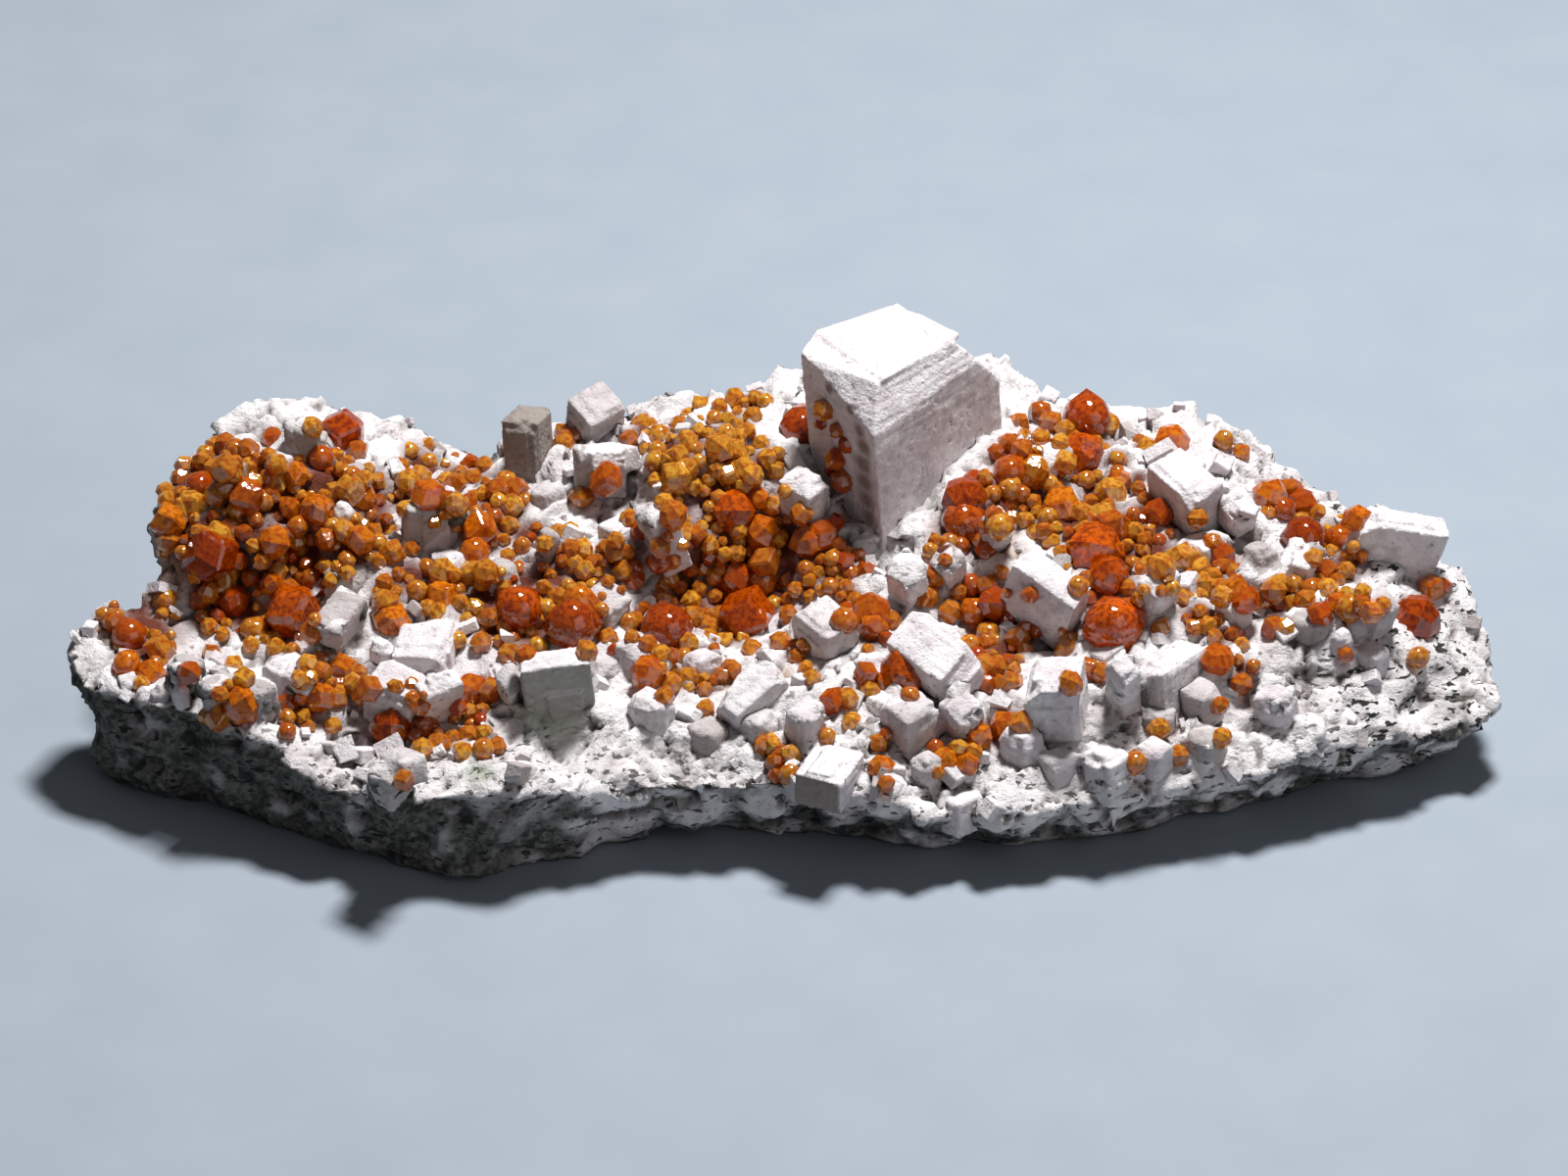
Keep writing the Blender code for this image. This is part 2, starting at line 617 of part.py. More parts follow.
def random_turn(draw):
    axis = Vector((draw.uniform(-1, 1), draw.uniform(-1, 1), draw.uniform(0.2, 1))).normalized()
    return Matrix.Rotation(draw.uniform(0, math.pi), 3, axis)


class Ground:
    """The surface that garnets grow on: the slab with the feldspar crystals on it."""

    def __init__(self, objects):
        points = []
        faces = []
        for obj in objects:
            start = len(points)
            points += [v.co.copy() for v in obj.data.vertices]
            faces += [[start + i for i in p.vertices] for p in obj.data.polygons]
        self.tree = BVHTree.FromPolygons(points, faces)

    def meet(self, column, row):
        """Where the view ray lands, and the way the surface faces there."""
        place, normal, _, _ = self.tree.ray_cast(EYE, view_ray(column, row))
        return (place, normal) if place else (None, None)


def crust_places(line, width, draw):
    """Places over a band along a line of places, a step apart, set like bricks."""
    places = []
    rows = max(1, round(width / CRUST_STEP))
    for (x0, y0), (x1, y1) in zip(line, line[1:]):
        length = math.hypot(x1 - x0, y1 - y0)
        across = ((y0 - y1) / length, (x1 - x0) / length)
        steps = max(1, round(length / CRUST_STEP))
        for i in range(steps + 1):
            for k in range(rows):
                side = (k - (rows - 1) / 2) * CRUST_STEP * 0.9
                along = (i + 0.5 * (k % 2)) / steps
                column = x0 + (x1 - x0) * along + across[0] * side + draw.uniform(-5, 5)
                row = y0 + (y1 - y0) * along + across[1] * side + draw.uniform(-5, 5)
                near = [math.hypot(column - c, row - r) < CRUST_STEP * 0.6 for c, r in places]
                if not any(near):
                    places.append((column, row))
    return places


def join_all(name, meshes):
    """One object from meshes that overlap."""
    first, *others = [new_object(f"{name}_{i}", mesh) for i, mesh in enumerate(meshes)]
    for other in others:
        combine(first, other, "UNION")
        drop(other)
    first.name = name
    return first


def finish_look(obj, name, colour, roughness):
    obj.name = name
    obj.data.name = name
    material = bpy.data.materials.get(name) or bpy.data.materials.new(name)
    material.use_nodes = True
    shader = material.node_tree.nodes["Principled BSDF"]
    shader.inputs["Base Color"].default_value = colour
    shader.inputs["Roughness"].default_value = roughness
    shader.inputs["Metallic"].default_value = 0.0
    obj.data.materials.clear()
    obj.data.materials.append(material)


def main():
    for obj in list(bpy.data.objects):
        bpy.data.objects.remove(obj)
    draw = random.Random(SEED)
    top = SlabTop(SPOTS)
    slab = make_slab(top, smooth_rim(RIM))
    for corner, *edges in INGROWN:
        block = new_object("block", block_mesh(top, corner, edges))
        combine(slab, block, "UNION")
        drop(block)
    flatten_base(slab)
    finish_look(slab, "matrix_slab", ROCK_GREY, 0.85)

    fences = [grown_copy(slab, SLAB_GAP)]
    crystals = []
    tall = [tall_block_mesh(top), tall_block_mesh(top, GAP)]
    blocks = {"feldspar_tall_block": tall}
    for name, (corner, *edges) in CRYSTALS.items():
        blocks[name] = [block_mesh(top, corner, edges, by) for by in (0.0, GAP)]
    for name, (mesh, border) in blocks.items():
        crystal = new_object(name, mesh)
        cut_clear(crystal, fences)
        fences.append(new_object(name + "_fence", border))
        crystals.append(crystal)
        finish_look(crystal, name, WHITE_FELDSPAR, 0.8)

    ground = Ground([slab] + crystals)
    for name, (column, row, width) in GARNETS.items():
        place, normal = ground.meet(column, row)
        if place is None:
            continue
        turn = random_turn(draw)
        centre = place + normal * width * MM * 0.12
        garnet = new_object(name, garnet_mesh(centre, width * MM, turn, True))
        fence = new_object(name + "_fence", garnet_mesh(centre, width * MM, turn, True, GAP))
        cut_clear(garnet, fences)
        fences.append(fence)
        finish_look(garnet, name, GARNET_ORANGE, 0.15)

    for name, (line, width) in CRUSTS.items():
        solids = []
        borders = []
        for column, row in crust_places(line, width, draw):
            place, normal = ground.meet(column, row)
            if place is None:
                continue
            turn = random_turn(draw)
            size = CRUST_GARNET * draw.uniform(0.85, 1.15)
            centre = place + normal * size * 0.1
            solids.append(garnet_mesh(centre, size, turn, False))
            borders.append(garnet_mesh(centre, size, turn, False, GAP))
        crust = join_all(name, solids)
        fence = join_all(name + "_fence", borders)
        cut_clear(crust, fences)
        fences.append(fence)
        finish_look(crust, name, GARNET_ORANGE, 0.2)
    drop(*fences)


main()
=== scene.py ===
"""Looks of the spessartine on matrix: broken rock, blocky feldspar, and garnets that light shines through."""

import math
import random

import bmesh
import bpy
import numpy as np
from mathutils import Matrix, Vector, noise
from mathutils.bvhtree import BVHTree


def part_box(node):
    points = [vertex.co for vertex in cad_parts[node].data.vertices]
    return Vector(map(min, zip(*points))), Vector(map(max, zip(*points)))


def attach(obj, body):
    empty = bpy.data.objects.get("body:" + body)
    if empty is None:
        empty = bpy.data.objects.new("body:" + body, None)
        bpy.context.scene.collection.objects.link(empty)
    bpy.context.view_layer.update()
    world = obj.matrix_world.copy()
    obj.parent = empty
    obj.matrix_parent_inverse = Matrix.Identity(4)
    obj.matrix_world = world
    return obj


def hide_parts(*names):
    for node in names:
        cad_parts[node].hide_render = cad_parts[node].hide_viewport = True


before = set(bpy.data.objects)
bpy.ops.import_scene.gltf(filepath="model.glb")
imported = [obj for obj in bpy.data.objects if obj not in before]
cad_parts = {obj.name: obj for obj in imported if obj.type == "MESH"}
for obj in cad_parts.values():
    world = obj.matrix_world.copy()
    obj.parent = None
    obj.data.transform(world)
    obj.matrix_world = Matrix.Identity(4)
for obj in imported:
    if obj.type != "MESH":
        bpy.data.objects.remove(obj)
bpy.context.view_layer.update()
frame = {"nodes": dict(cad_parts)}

MM = 0.001

# The photograph's view: what it looks at, from how far and how steeply, and the size of a pixel there
VIEW_RISE = math.radians(33.0)
VIEW_DISTANCE = 750 * MM
VIEW_AIM = Vector((0.0, 7.3, 14.0)) * MM
VIEW_MIDDLE = (800, 600)
PIXEL = 0.096 * MM
PHOTO_WIDTH = 1600
SENSOR_WIDTH = 36.0
VIEW_RIGHT = Vector((1.0, 0.0, 0.0))
VIEW_UP = Vector((0.0, math.sin(VIEW_RISE), math.cos(VIEW_RISE)))
VIEW_AWAY = Vector((0.0, math.cos(VIEW_RISE), -math.sin(VIEW_RISE)))
EYE = VIEW_AIM - VIEW_AWAY * VIEW_DISTANCE

# The seeds of the noise that bends and leans the rock's cells, and of what is drawn by chance
NOISE_SEED = 11
DRAW_SEED = 7

# How fine each mesh is
ROCK_VOXEL = 0.54 * MM
BLOCK_VOXEL = 0.19 * MM
TALL_VOXEL = 0.22 * MM
SMALL_BLOCK_VOXEL = 0.25 * MM

# How far off a vertex and a garnet look for what hides the sky, for painted shade, and the rays that they
# look along
CREVICE_REACH = 5 * MM
GARNET_REACH = 9 * MM
SKY_RAYS = [Vector((0, 0, 1))] + [
    Vector((math.cos(turn), math.sin(turn), 0.9)).normalized() for turn in np.linspace(0, math.tau, 7)[:6]
]

# The cells that the rock's skin is broken into: their size, and how steeply they lean
COARSE_CELLS = (4.4 * MM, 1.9)
SMALL_CELLS = (1.9 * MM, 2.0)

# How far a block runs on into the rock, and the least spread of a corner's edges
BLOCK_ROOT = 3.2 * MM
LONG_ROOTS = {"feldspar_pitted": 8.5 * MM, "feldspar_front_dome": 1.2 * MM}
LEAST_SPREAD = 0.2

# Feldspar blocks: the corner nearest the eye, where its three edges run in the view, and how dark it is
BLOCKS = {
    "feldspar_right_end": ((1393, 534), (87, 14), (-4, -20), (-14, 36), 0.0),
    "feldspar_right_ridge": ((1212, 513), (-42, -38), (36, -20), (3, 27), 0.0),
    "feldspar_right_column": ((1095, 622), (-62, -45), (18, -22), (-8, 24), 0.05),
    "feldspar_middle_lid": ((967, 706), (-62, -50), (32, -38), (4, 14), 0.0),
    "feldspar_grooved": ((838, 650), (-34, -28), (35, -19), (4, 20), 0.2),
    "feldspar_left_slab": ((452, 672), (-52, -2), (10, -40), (2, 12), 0.0),
    "feldspar_left_wedge": ((420, 722), (-48, -22), (20, -30), (-2, 22), 0.1),
    "feldspar_left_pale": ((436, 714), (38, -16), (-12, -20), (-3, 28), 0.1),
    "feldspar_pitted": ((530, 688), (68, -9), (-3, -19), (5, 40), 0.1),
    "feldspar_brown_spotted": ((752, 732), (50, -44), (-25, -20), (2, 10), 0.1),
    "feldspar_front_dome": ((858, 802), (-46, -12), (24, -32), (0, 20), 0.0),
    "feldspar_front_roof": ((1097, 707), (-54, 0), (10, -36), (6, 40), 0.05),
    "feldspar_front_pocked": ((1185, 690), (-28, -8), (46, -28), (4, 36), 0.05),
    "feldspar_back_peak": ((604, 436), (-26, -29), (36, -22), (-2, 14), 0.3),
    "feldspar_back_brown": ((544, 432), (-34, -3), (18, -18), (3, 42), 0.8),
}

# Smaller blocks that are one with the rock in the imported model
SMALL_BLOCKS = [
    ((592, 470), (48, -3), (-6, -16), (0, 28)), ((664, 540), (-16, -22), (28, -14), (12, 40)),
    ((418, 522), (50, -6), (-8, -12), (0, 36)), ((345, 650), (-28, -14), (28, -40), (0, 12)),
    ((350, 592), (-18, -8), (30, -14), (0, 8)), ((262, 708), (-22, -12), (20, -10), (2, 24)),
    ((215, 705), (-12, -8), (24, -14), (2, 18)), ((180, 684), (-10, -12), (26, -6), (-2, 16)),
    ((310, 710), (-20, -24), (28, -18), (-2, 12)), ((622, 632), (-28, -24), (24, -22), (-2, 8)),
    ((672, 684), (-44, -26), (20, -16), (-2, 10)), ((822, 737), (-20, -12), (22, -16), (-2, 18)),
    ((925, 600), (-22, -18), (20, -20), (2, 16)), ((965, 585), (-18, -16), (20, -18), (2, 14)),
    ((1262, 532), (-18, -24), (24, -14), (-2, 12)), ((1180, 612), (-20, -18), (26, -24), (-4, 20)),
    ((1230, 562), (-26, -12), (24, -12), (0, 8)), ((1335, 582), (-28, -12), (16, -22), (-2, 8)),
    ((1300, 602), (-40, -18), (20, -28), (0, 8)), ((1405, 636), (-22, -26), (24, -18), (-4, 14)),
    ((1310, 722), (-32, -8), (14, -24), (2, 16)), ((1130, 782), (-26, -12), (26, -12), (2, 22)),
    ((1232, 764), (-28, -12), (20, -18), (2, 20)), ((980, 742), (-20, -24), (24, -20), (0, 12)),
    ((400, 806), (-24, -16), (20, -20), (0, 16)), ((1145, 700), (-18, -22), (18, -14), (2, 30)),
    ((520, 712), (-16, -22), (16, -20), (2, 10)), ((1345, 640), (-34, -14), (24, -16), (0, 10)),
    ((230, 478), (-14, -8), (22, -6), (0, 20)), ((310, 445), (-22, -10), (16, -12), (0, 18)),
]

# The block with a grey-green face, and the one that is dark below, with painted shade on its lower left side
GREEN_BLOCK = "feldspar_pitted"
SHADED_BLOCK = "feldspar_front_dome"

# How dark small blocks are, and the plainly darker ones by their corner in the view
SMALL_BLOCK_TINTS = (0.0, 0.1, 0.3, 0.5)
DARK_BLOCKS = {(230, 478): 0.75, (310, 445): 0.7, (418, 522): 0.55, (345, 650): 0.35}

# More small blocks, by the box that each fills in the view and the share of it left of the near edge, and
# how far they are raised towards the eye
MORE_BLOCKS = [
    (269, 458, 300, 484, 0.6), (341, 469, 373, 489, 0.4), (339, 509, 362, 533, 0.5),
    (266, 665, 322, 708, 0.4), (152, 696, 172, 714, 0.5), (175, 696, 194, 713, 0.4),
    (583, 449, 653, 470, 0.3), (540, 491, 578, 516, 0.4), (436, 557, 478, 590, 0.6),
    (480, 567, 531, 598, 0.4), (609, 522, 658, 562, 0.5), (547, 534, 573, 566, 0.5),
    (378, 598, 412, 616, 0.4), (376, 649, 404, 678, 0.6), (387, 763, 435, 790, 0.5),
    (794, 470, 848, 540, 0.6), (749, 718, 798, 756, 0.5), (698, 658, 738, 690, 0.4),
    (869, 662, 909, 688, 0.5), (882, 702, 920, 730, 0.5), (898, 700, 962, 768, 0.45),
    (929, 765, 962, 800, 0.5), (1000, 509, 1033, 562, 0.5), (1034, 438, 1098, 490, 0.5),
    (1165, 716, 1202, 745, 0.5), (1160, 749, 1198, 792, 0.5), (1020, 734, 1066, 780, 0.55),
    (1006, 718, 1032, 734, 0.5), (945, 796, 1009, 842, 0.5), (1269, 551, 1306, 575, 0.5),
    (1374, 624, 1396, 644, 0.5), (1358, 640, 1382, 662, 0.5), (640, 700, 690, 742, 0.6),
    (700, 730, 745, 765, 0.5), (590, 660, 640, 700, 0.5), (1060, 760, 1102, 796, 0.4),
    (1240, 600, 1280, 640, 0.6), (1205, 690, 1250, 735, 0.5), (1380, 650, 1420, 690, 0.6),
]
MORE_LIFT = 1.0 * MM

# The tall block: the top of its front edge in the view and how far the solid's stands over it; then, in mm
# from that point, its two sides seen from above, how far it leans to the right as it goes down, and its
# root, its ledge and the plate that stands on the ledge
TALL_CORNER = (889, 440)
TALL_LOWERED = 2.0 * MM
TALL_RIGHT = Vector((12.5, 14.2, 0.0))
TALL_LEFT = Vector((-8.5, 11.4, 0.0))
TALL_LEAN = 0.078
TALL_ROOT = -16.0
TALL_LEDGE = 4.25
TALL_PLATE = 4.5
TALL_PLATE_CORNER = Vector((1.3, 3.6, 0.0))
# Its sloping planes, each by the point that it passes through and the way it faces
TALL_SLOPES = (
    (Vector((0.0, 0.0, 0.0)), Vector((0.65, -0.62, 0.36))),
    (Vector((0.0, 0.0, 0.0)), Vector((-0.50, -0.68, 0.60))),
    (Vector((10.5, 11.9, 1.6)), Vector((0.61, 0.46, 0.65))),
    (Vector((8.4, 12.9, 3.7)), Vector((0.5, 0.35, 0.79))),
)
# Upright planes that round its back and the plate, each by the way it faces in plan and its distance
TALL_BACK = ((0.10, 0.99, 18.6), (0.75, 0.66, 18.7), (-0.54, 0.84, 14.0), (-0.94, 0.34, 9.5))
TALL_PLATE_BACK = (
    (0.10, 0.99, 18.2), (0.68, 0.73, 15.1), (0.45, 0.89, 16.6), (-0.54, 0.84, 13.7), (-0.15, 0.98, 17.3),
    (-0.94, 0.34, 9.2),
)

# The dark streak down its front edge: column, row and radius in the view
DARK_STREAK = [
    (846, 396, 6), (868, 418, 6), (877, 440, 8), (881, 456, 10), (880, 474, 12), (882, 492, 12),
    (884, 510, 12), (887, 528, 11), (890, 546, 11),
]

# Large garnets: column, row and radius in the view
LARGE_GARNETS = [
    (350, 440, 20), (327, 467, 13), (302, 484, 12), (204, 496, 15), (251, 507, 18), (296, 518, 12),
    (322, 520, 15), (369, 507, 14), (173, 533, 16), (215, 567, 24), (280, 553, 17), (278, 596, 12),
    (300, 625, 26), (238, 613, 15), (367, 551, 14), (140, 618, 22), (131, 649, 17), (129, 678, 14),
    (153, 687, 13), (193, 687, 12), (247, 718, 18), (327, 711, 15), (351, 682, 13), (438, 507, 17),
    (488, 540, 18), (484, 564, 16), (618, 489, 17), (400, 634, 17), (449, 609, 16), (529, 620, 23),
    (584, 638, 25), (591, 616, 18), (481, 704, 17), (400, 744, 20), (660, 687, 16), (680, 642, 25),
    (747, 522, 22), (778, 544, 17), (751, 591, 18), (778, 593, 15), (762, 631, 25), (824, 553, 17),
    (816, 436, 20), (860, 491, 12), (854, 468, 11), (773, 509, 12), (673, 573, 12), (922, 687, 22),
    (884, 687, 12), (899, 784, 13), (889, 624, 18), (891, 640, 14), (849, 716, 12), (1109, 426, 25),
    (1104, 464, 22), (1031, 482, 18), (984, 509, 20), (984, 533, 22), (1082, 518, 18), (1182, 524, 14),
    (1118, 564, 27), (1131, 589, 20), (1136, 638, 29), (1196, 451, 17), (1142, 491, 12), (1016, 616, 16),
    (993, 624, 14), (1027, 742, 15), (998, 751, 14), (964, 776, 12), (987, 780, 12), (1242, 673, 15),
    (1296, 507, 17), (1309, 520, 13), (1329, 516, 15), (1331, 549, 22), (1367, 551, 16), (1384, 529, 12),
    (1264, 602, 15), (1271, 613, 13), (1347, 627, 12), (1364, 618, 12), (1398, 624, 12), (1444, 631, 23),
    (1461, 600, 13), (1247, 567, 14), (1136, 538, 16),
]

# Small garnets that can be told apart in the view: column and row
SMALL_GARNETS = [
    (319, 436), (278, 448), (220, 456), (231, 453), (240, 459), (253, 459), (262, 469), (211, 464),
    (206, 471), (364, 460), (371, 489), (258, 493), (273, 489), (282, 493), (276, 504), (241, 520),
    (260, 531), (169, 501), (171, 511), (184, 489), (244, 571), (267, 573), (256, 589), (284, 582),
    (318, 591), (333, 551), (340, 538), (351, 542), (342, 502), (360, 487), (118, 629), (114, 635),
    (161, 676), (144, 698), (249, 693), (238, 678), (211, 731), (222, 733), (293, 747), (293, 733),
    (309, 731), (342, 711), (364, 689), (360, 698), (369, 711), (340, 740), (327, 673), (256, 658),
    (216, 667), (418, 460), (408, 476), (429, 487), (480, 473), (471, 484), (482, 489), (454, 491),
    (516, 491), (527, 498), (476, 516), (509, 513), (522, 516), (536, 511), (504, 527), (520, 536),
    (518, 567), (533, 557), (569, 544), (582, 542), (582, 560), (593, 507), (577, 449), (576, 442),
    (587, 444), (576, 453), (642, 449), (664, 433), (420, 560), (400, 564), (436, 580), (444, 596),
    (467, 602), (436, 620), (493, 596), (484, 620), (498, 631), (596, 582), (604, 573), (627, 562),
    (640, 564), (636, 582), (647, 591), (642, 529), (653, 542), (467, 653), (491, 656), (520, 667),
    (549, 659), (599, 664), (502, 704), (421, 713), (429, 720), (424, 751), (431, 764), (449, 760),
    (462, 753), (478, 751), (472, 767), (493, 764), (507, 762), (491, 736), (412, 796), (627, 664),
    (620, 651), (642, 636), (656, 433), (749, 406), (771, 406), (781, 410), (768, 424), (776, 453),
    (673, 444), (693, 433), (713, 440), (729, 427), (742, 429), (741, 444), (669, 471), (693, 464),
    (709, 458), (702, 478), (669, 491), (682, 500), (693, 498), (707, 496), (723, 489), (742, 484),
    (756, 469), (783, 468), (791, 480), (801, 501), (789, 516), (758, 496), (724, 556), (751, 564),
    (804, 591), (693, 599), (707, 613), (728, 589), (822, 580), (847, 598), (876, 567), (851, 571),
    (884, 584), (644, 531), (838, 431), (841, 418), (818, 524), (853, 533), (953, 589), (942, 611),
    (704, 613), (707, 629), (722, 640), (702, 657), (647, 633), (796, 656), (813, 671), (822, 682),
    (829, 692), (767, 663), (736, 690), (746, 683), (684, 698), (702, 691), (678, 711), (718, 704),
    (720, 723), (778, 760), (787, 760), (806, 771), (791, 791), (806, 791), (904, 800), (896, 758),
    (904, 749), (844, 751), (887, 704), (864, 713), (869, 736), (909, 633), (873, 613), (949, 609),
    (1040, 431), (1062, 420), (1062, 447), (1029, 453), (1071, 493), (1031, 529), (1047, 531),
    (1042, 504), (1131, 516), (1107, 542), (1158, 542), (1073, 553), (1082, 564), (1111, 591),
    (1156, 576), (1151, 600), (1162, 612), (1196, 600), (1140, 482), (1162, 498), (1171, 458),
    (1249, 449), (1222, 529), (1247, 578), (1224, 582), (1007, 598), (1022, 584), (1007, 562),
    (956, 589), (1051, 607), (978, 604), (969, 624), (1184, 641), (1224, 624), (1233, 638),
    (1218, 640), (1209, 611), (989, 658), (1044, 662), (1020, 698), (1033, 696), (1093, 698),
    (1089, 691), (1111, 682), (1123, 686), (1042, 738), (978, 764), (1158, 778), (1182, 744),
    (1202, 771), (1244, 720), (1247, 753), (1353, 582), (1364, 593), (1373, 582), (1308, 593),
    (1320, 596), (1338, 600), (1247, 609), (1289, 611), (1304, 616), (1318, 616), (1331, 613),
    (1389, 616), (1411, 618), (1473, 598), (1299, 640), (1311, 641), (1260, 647), (1267, 658),
    (1373, 668), (1447, 671), (1231, 638), (1227, 582), (1267, 462), (1279, 680), (1267, 698),
]

# Patches that garnets fill: column, row and radius in the view
GARNET_PATCHES = [
    (200, 490, 35), (240, 505, 35), (290, 515, 36), (340, 510, 35), (375, 495, 24), (180, 535, 26),
    (215, 540, 26), (260, 550, 26), (300, 560, 26), (345, 550, 26), (385, 535, 20), (390, 562, 18),
    (215, 595, 22), (250, 625, 26), (290, 640, 26), (270, 585, 20), (120, 640, 24), (150, 662, 24),
    (140, 622, 20), (240, 715, 20), (325, 700, 28), (350, 690, 20), (310, 725, 18), (365, 702, 14),
    (430, 480, 28), (470, 490, 32), (510, 510, 30), (400, 512, 14), (500, 540, 24), (540, 545, 20),
    (470, 530, 18), (420, 592, 24), (400, 602, 18), (450, 605, 24), (490, 610, 28), (530, 600, 28),
    (560, 612, 28), (580, 632, 26), (540, 642, 28), (500, 646, 20), (600, 590, 24), (630, 570, 20),
    (580, 560, 16), (412, 692, 12), (425, 715, 13), (430, 748, 13), (455, 756, 13), (480, 722, 20),
    (490, 756, 15), (400, 752, 18), (680, 460, 28), (720, 440, 30), (750, 430, 22), (770, 410, 16),
    (745, 470, 30), (700, 490, 30), (780, 470, 18), (725, 500, 20), (660, 440, 16), (690, 520, 22),
    (740, 540, 28), (780, 540, 22), (720, 570, 22), (760, 590, 28), (800, 580, 22), (830, 562, 22),
    (860, 580, 20), (820, 600, 16), (700, 602, 22), (660, 642, 22), (690, 660, 20), (720, 642, 22),
    (752, 652, 18), (690, 690, 18), (718, 700, 16), (850, 470, 12), (858, 446, 10), (820, 432, 14),
    (880, 632, 20), (890, 652, 15), (868, 612, 14), (815, 668, 14), (828, 690, 10), (920, 690, 22),
    (890, 690, 12), (850, 722, 10), (1030, 470, 18), (1010, 500, 20), (985, 530, 22), (962, 560, 13),
    (1050, 500, 18), (1070, 490, 18), (1100, 482, 18), (1085, 442, 18), (1120, 500, 18), (1085, 530, 28),
    (1130, 542, 24), (1170, 522, 18), (1200, 536, 13), (1150, 572, 20), (1168, 602, 15), (1100, 572, 16),
    (1140, 472, 13), (1162, 490, 12), (1165, 456, 10), (1220, 576, 18), (1200, 602, 15), (1240, 592, 14),
    (1230, 632, 15), (1000, 602, 18), (1010, 632, 16), (1020, 662, 13), (1010, 690, 14), (1050, 652, 12),
    (1090, 652, 14), (960, 776, 14), (985, 770, 13), (1010, 750, 15), (1030, 740, 11), (1300, 512, 18),
    (1330, 522, 15), (1340, 552, 22), (1370, 560, 15), (1260, 602, 12), (1250, 652, 12), (1265, 682, 10),
    (1310, 602, 13), (1350, 592, 13), (1380, 612, 13), (1440, 622, 13), (1360, 622, 9), (1190, 746, 10),
    (900, 786, 12), (800, 776, 13), (215, 490, 44), (275, 500, 44), (335, 500, 44), (375, 510, 32),
    (195, 555, 32), (250, 560, 40), (305, 570, 40), (358, 560, 30), (235, 620, 34), (290, 632, 34),
    (150, 640, 34), (420, 500, 22), (470, 520, 30), (560, 590, 30), (610, 605, 26), (700, 455, 26),
    (750, 460, 26), (735, 505, 36), (705, 555, 34), (755, 560, 38), (800, 560, 34), (845, 575, 30),
    (700, 620, 34), (745, 625, 38), (790, 615, 24), (668, 640, 30), (1040, 470, 30), (1085, 470, 34),
    (1110, 440, 26), (1020, 520, 26), (980, 540, 30), (1060, 520, 30), (1105, 530, 38), (1145, 545, 30),
    (1175, 560, 24), (1130, 600, 30), (1010, 620, 28), (1020, 665, 24), (1240, 580, 26), (1225, 625, 22),
    (1310, 515, 26), (1350, 550, 28), (1375, 575, 20), (1400, 615, 16),
]

# How a patch is filled, in the view: how far apart its garnets are, how much closer its rows, how far a
# garnet strays, and the least room between two: a share of the other's radius, and a gap
PATCH_SPACING = 11.0
PATCH_ROWS = 0.85
PATCH_STRAY = 4
ROOM_SHARE = 0.55
ROOM_GAP = 6
# Its bare islands: how far apart they are in the view, and where the noise leaves one
ISLAND_SPACING = 24
ISLAND_FROM = 0.24

# Widths, in mm, of the small garnets and of those in the patches, what the last are swelled by, and the
# radius that a small garnet takes up in the view
SMALL_GARNET = (1.4, 2.2)
PATCH_GARNET = (1.1, 1.85)
PATCH_SWELL = (0.7, 0.85, 1.0, 1.0, 1.2, 1.6)
SMALL_ROOM = 8
# How far each kind is raised towards the eye, as a share of its width
LARGE_LIFT = 0.22
SMALL_LIFT = 0.25
PATCH_LIFT = (-0.1, 0.45)

# How far out the planes of a garnet's two forms lie, the one of these shapes that is worn round, and how
# much a garnet is squeezed or stretched
GARNET_FORMS = ((0.52, 0.5), (0.57, 0.5), (0.5, 0.55), (0.56, 0.5), (0.5, 0.53))
ROUNDED_FORM = 0
SQUEEZE = (0.92, 1.08)

# The garnets' three colours: pale, rich, what the stone lets through, and how strongly it takes up the rest
GARNET_LOOKS = {
    "deep_spessartine": ("#F26C08", "#801A02", "#FF7E0E", 330.0),
    "orange_spessartine": ("#FF9418", "#B43604", "#FF9A14", 330.0),
    "honey_spessartine": ("#FFBC3E", "#BC3E02", "#FFB42C", 300.0),
}
# The least radius in the view of a deep one, and how rich a colour is by chance and by the hidden sky, the
# last as painted shade
DEEP_FROM = 19
RICH_BY_CHANCE = 0.75
RICH_BY_SHADE = 0.7
# Where the garnets are palest, in the view: column, row and radius, and what is left there of the chance
GOLDEN_PLACE = (735, 455, 85)
GOLDEN_SHARE = 0.45

# Blocky grains of feldspar strewn between the crystals: how many are tried, how long they are, in mm, their
# proportions and how dark they are
GRAIN_TRIES = 1000
GRAIN = (0.6, 2.4)
GRAIN_SIDES = ((1, 1, 1), (1.4, 1, 0.8), (1.7, 1.2, 0.6), (1, 0.8, 1.5), (1.2, 1.2, 0.5), (1.5, 0.7, 0.9))
GRAIN_TINTS = (0.0, 0.0, 0.1, 0.25, 0.5)
# They are dropped from this height, and stay where the rock is at least this high and this level
DROP_HEIGHT = 60 * MM
LEAST_HEIGHT = 4 * MM
LEAST_LEVEL = 0.15
# Where the rock is smooth and has no grains: column, row and radius in the view
BARE_PLACES = [
    (235, 450, 55), (300, 425, 50), (600, 790, 60), (480, 800, 40), (690, 780, 40), (1300, 740, 50),
    (1450, 700, 60), (1015, 394, 46), (165, 540, 40), (330, 790, 40), (965, 492, 30), (718, 800, 34),
    (1512, 668, 34),
]

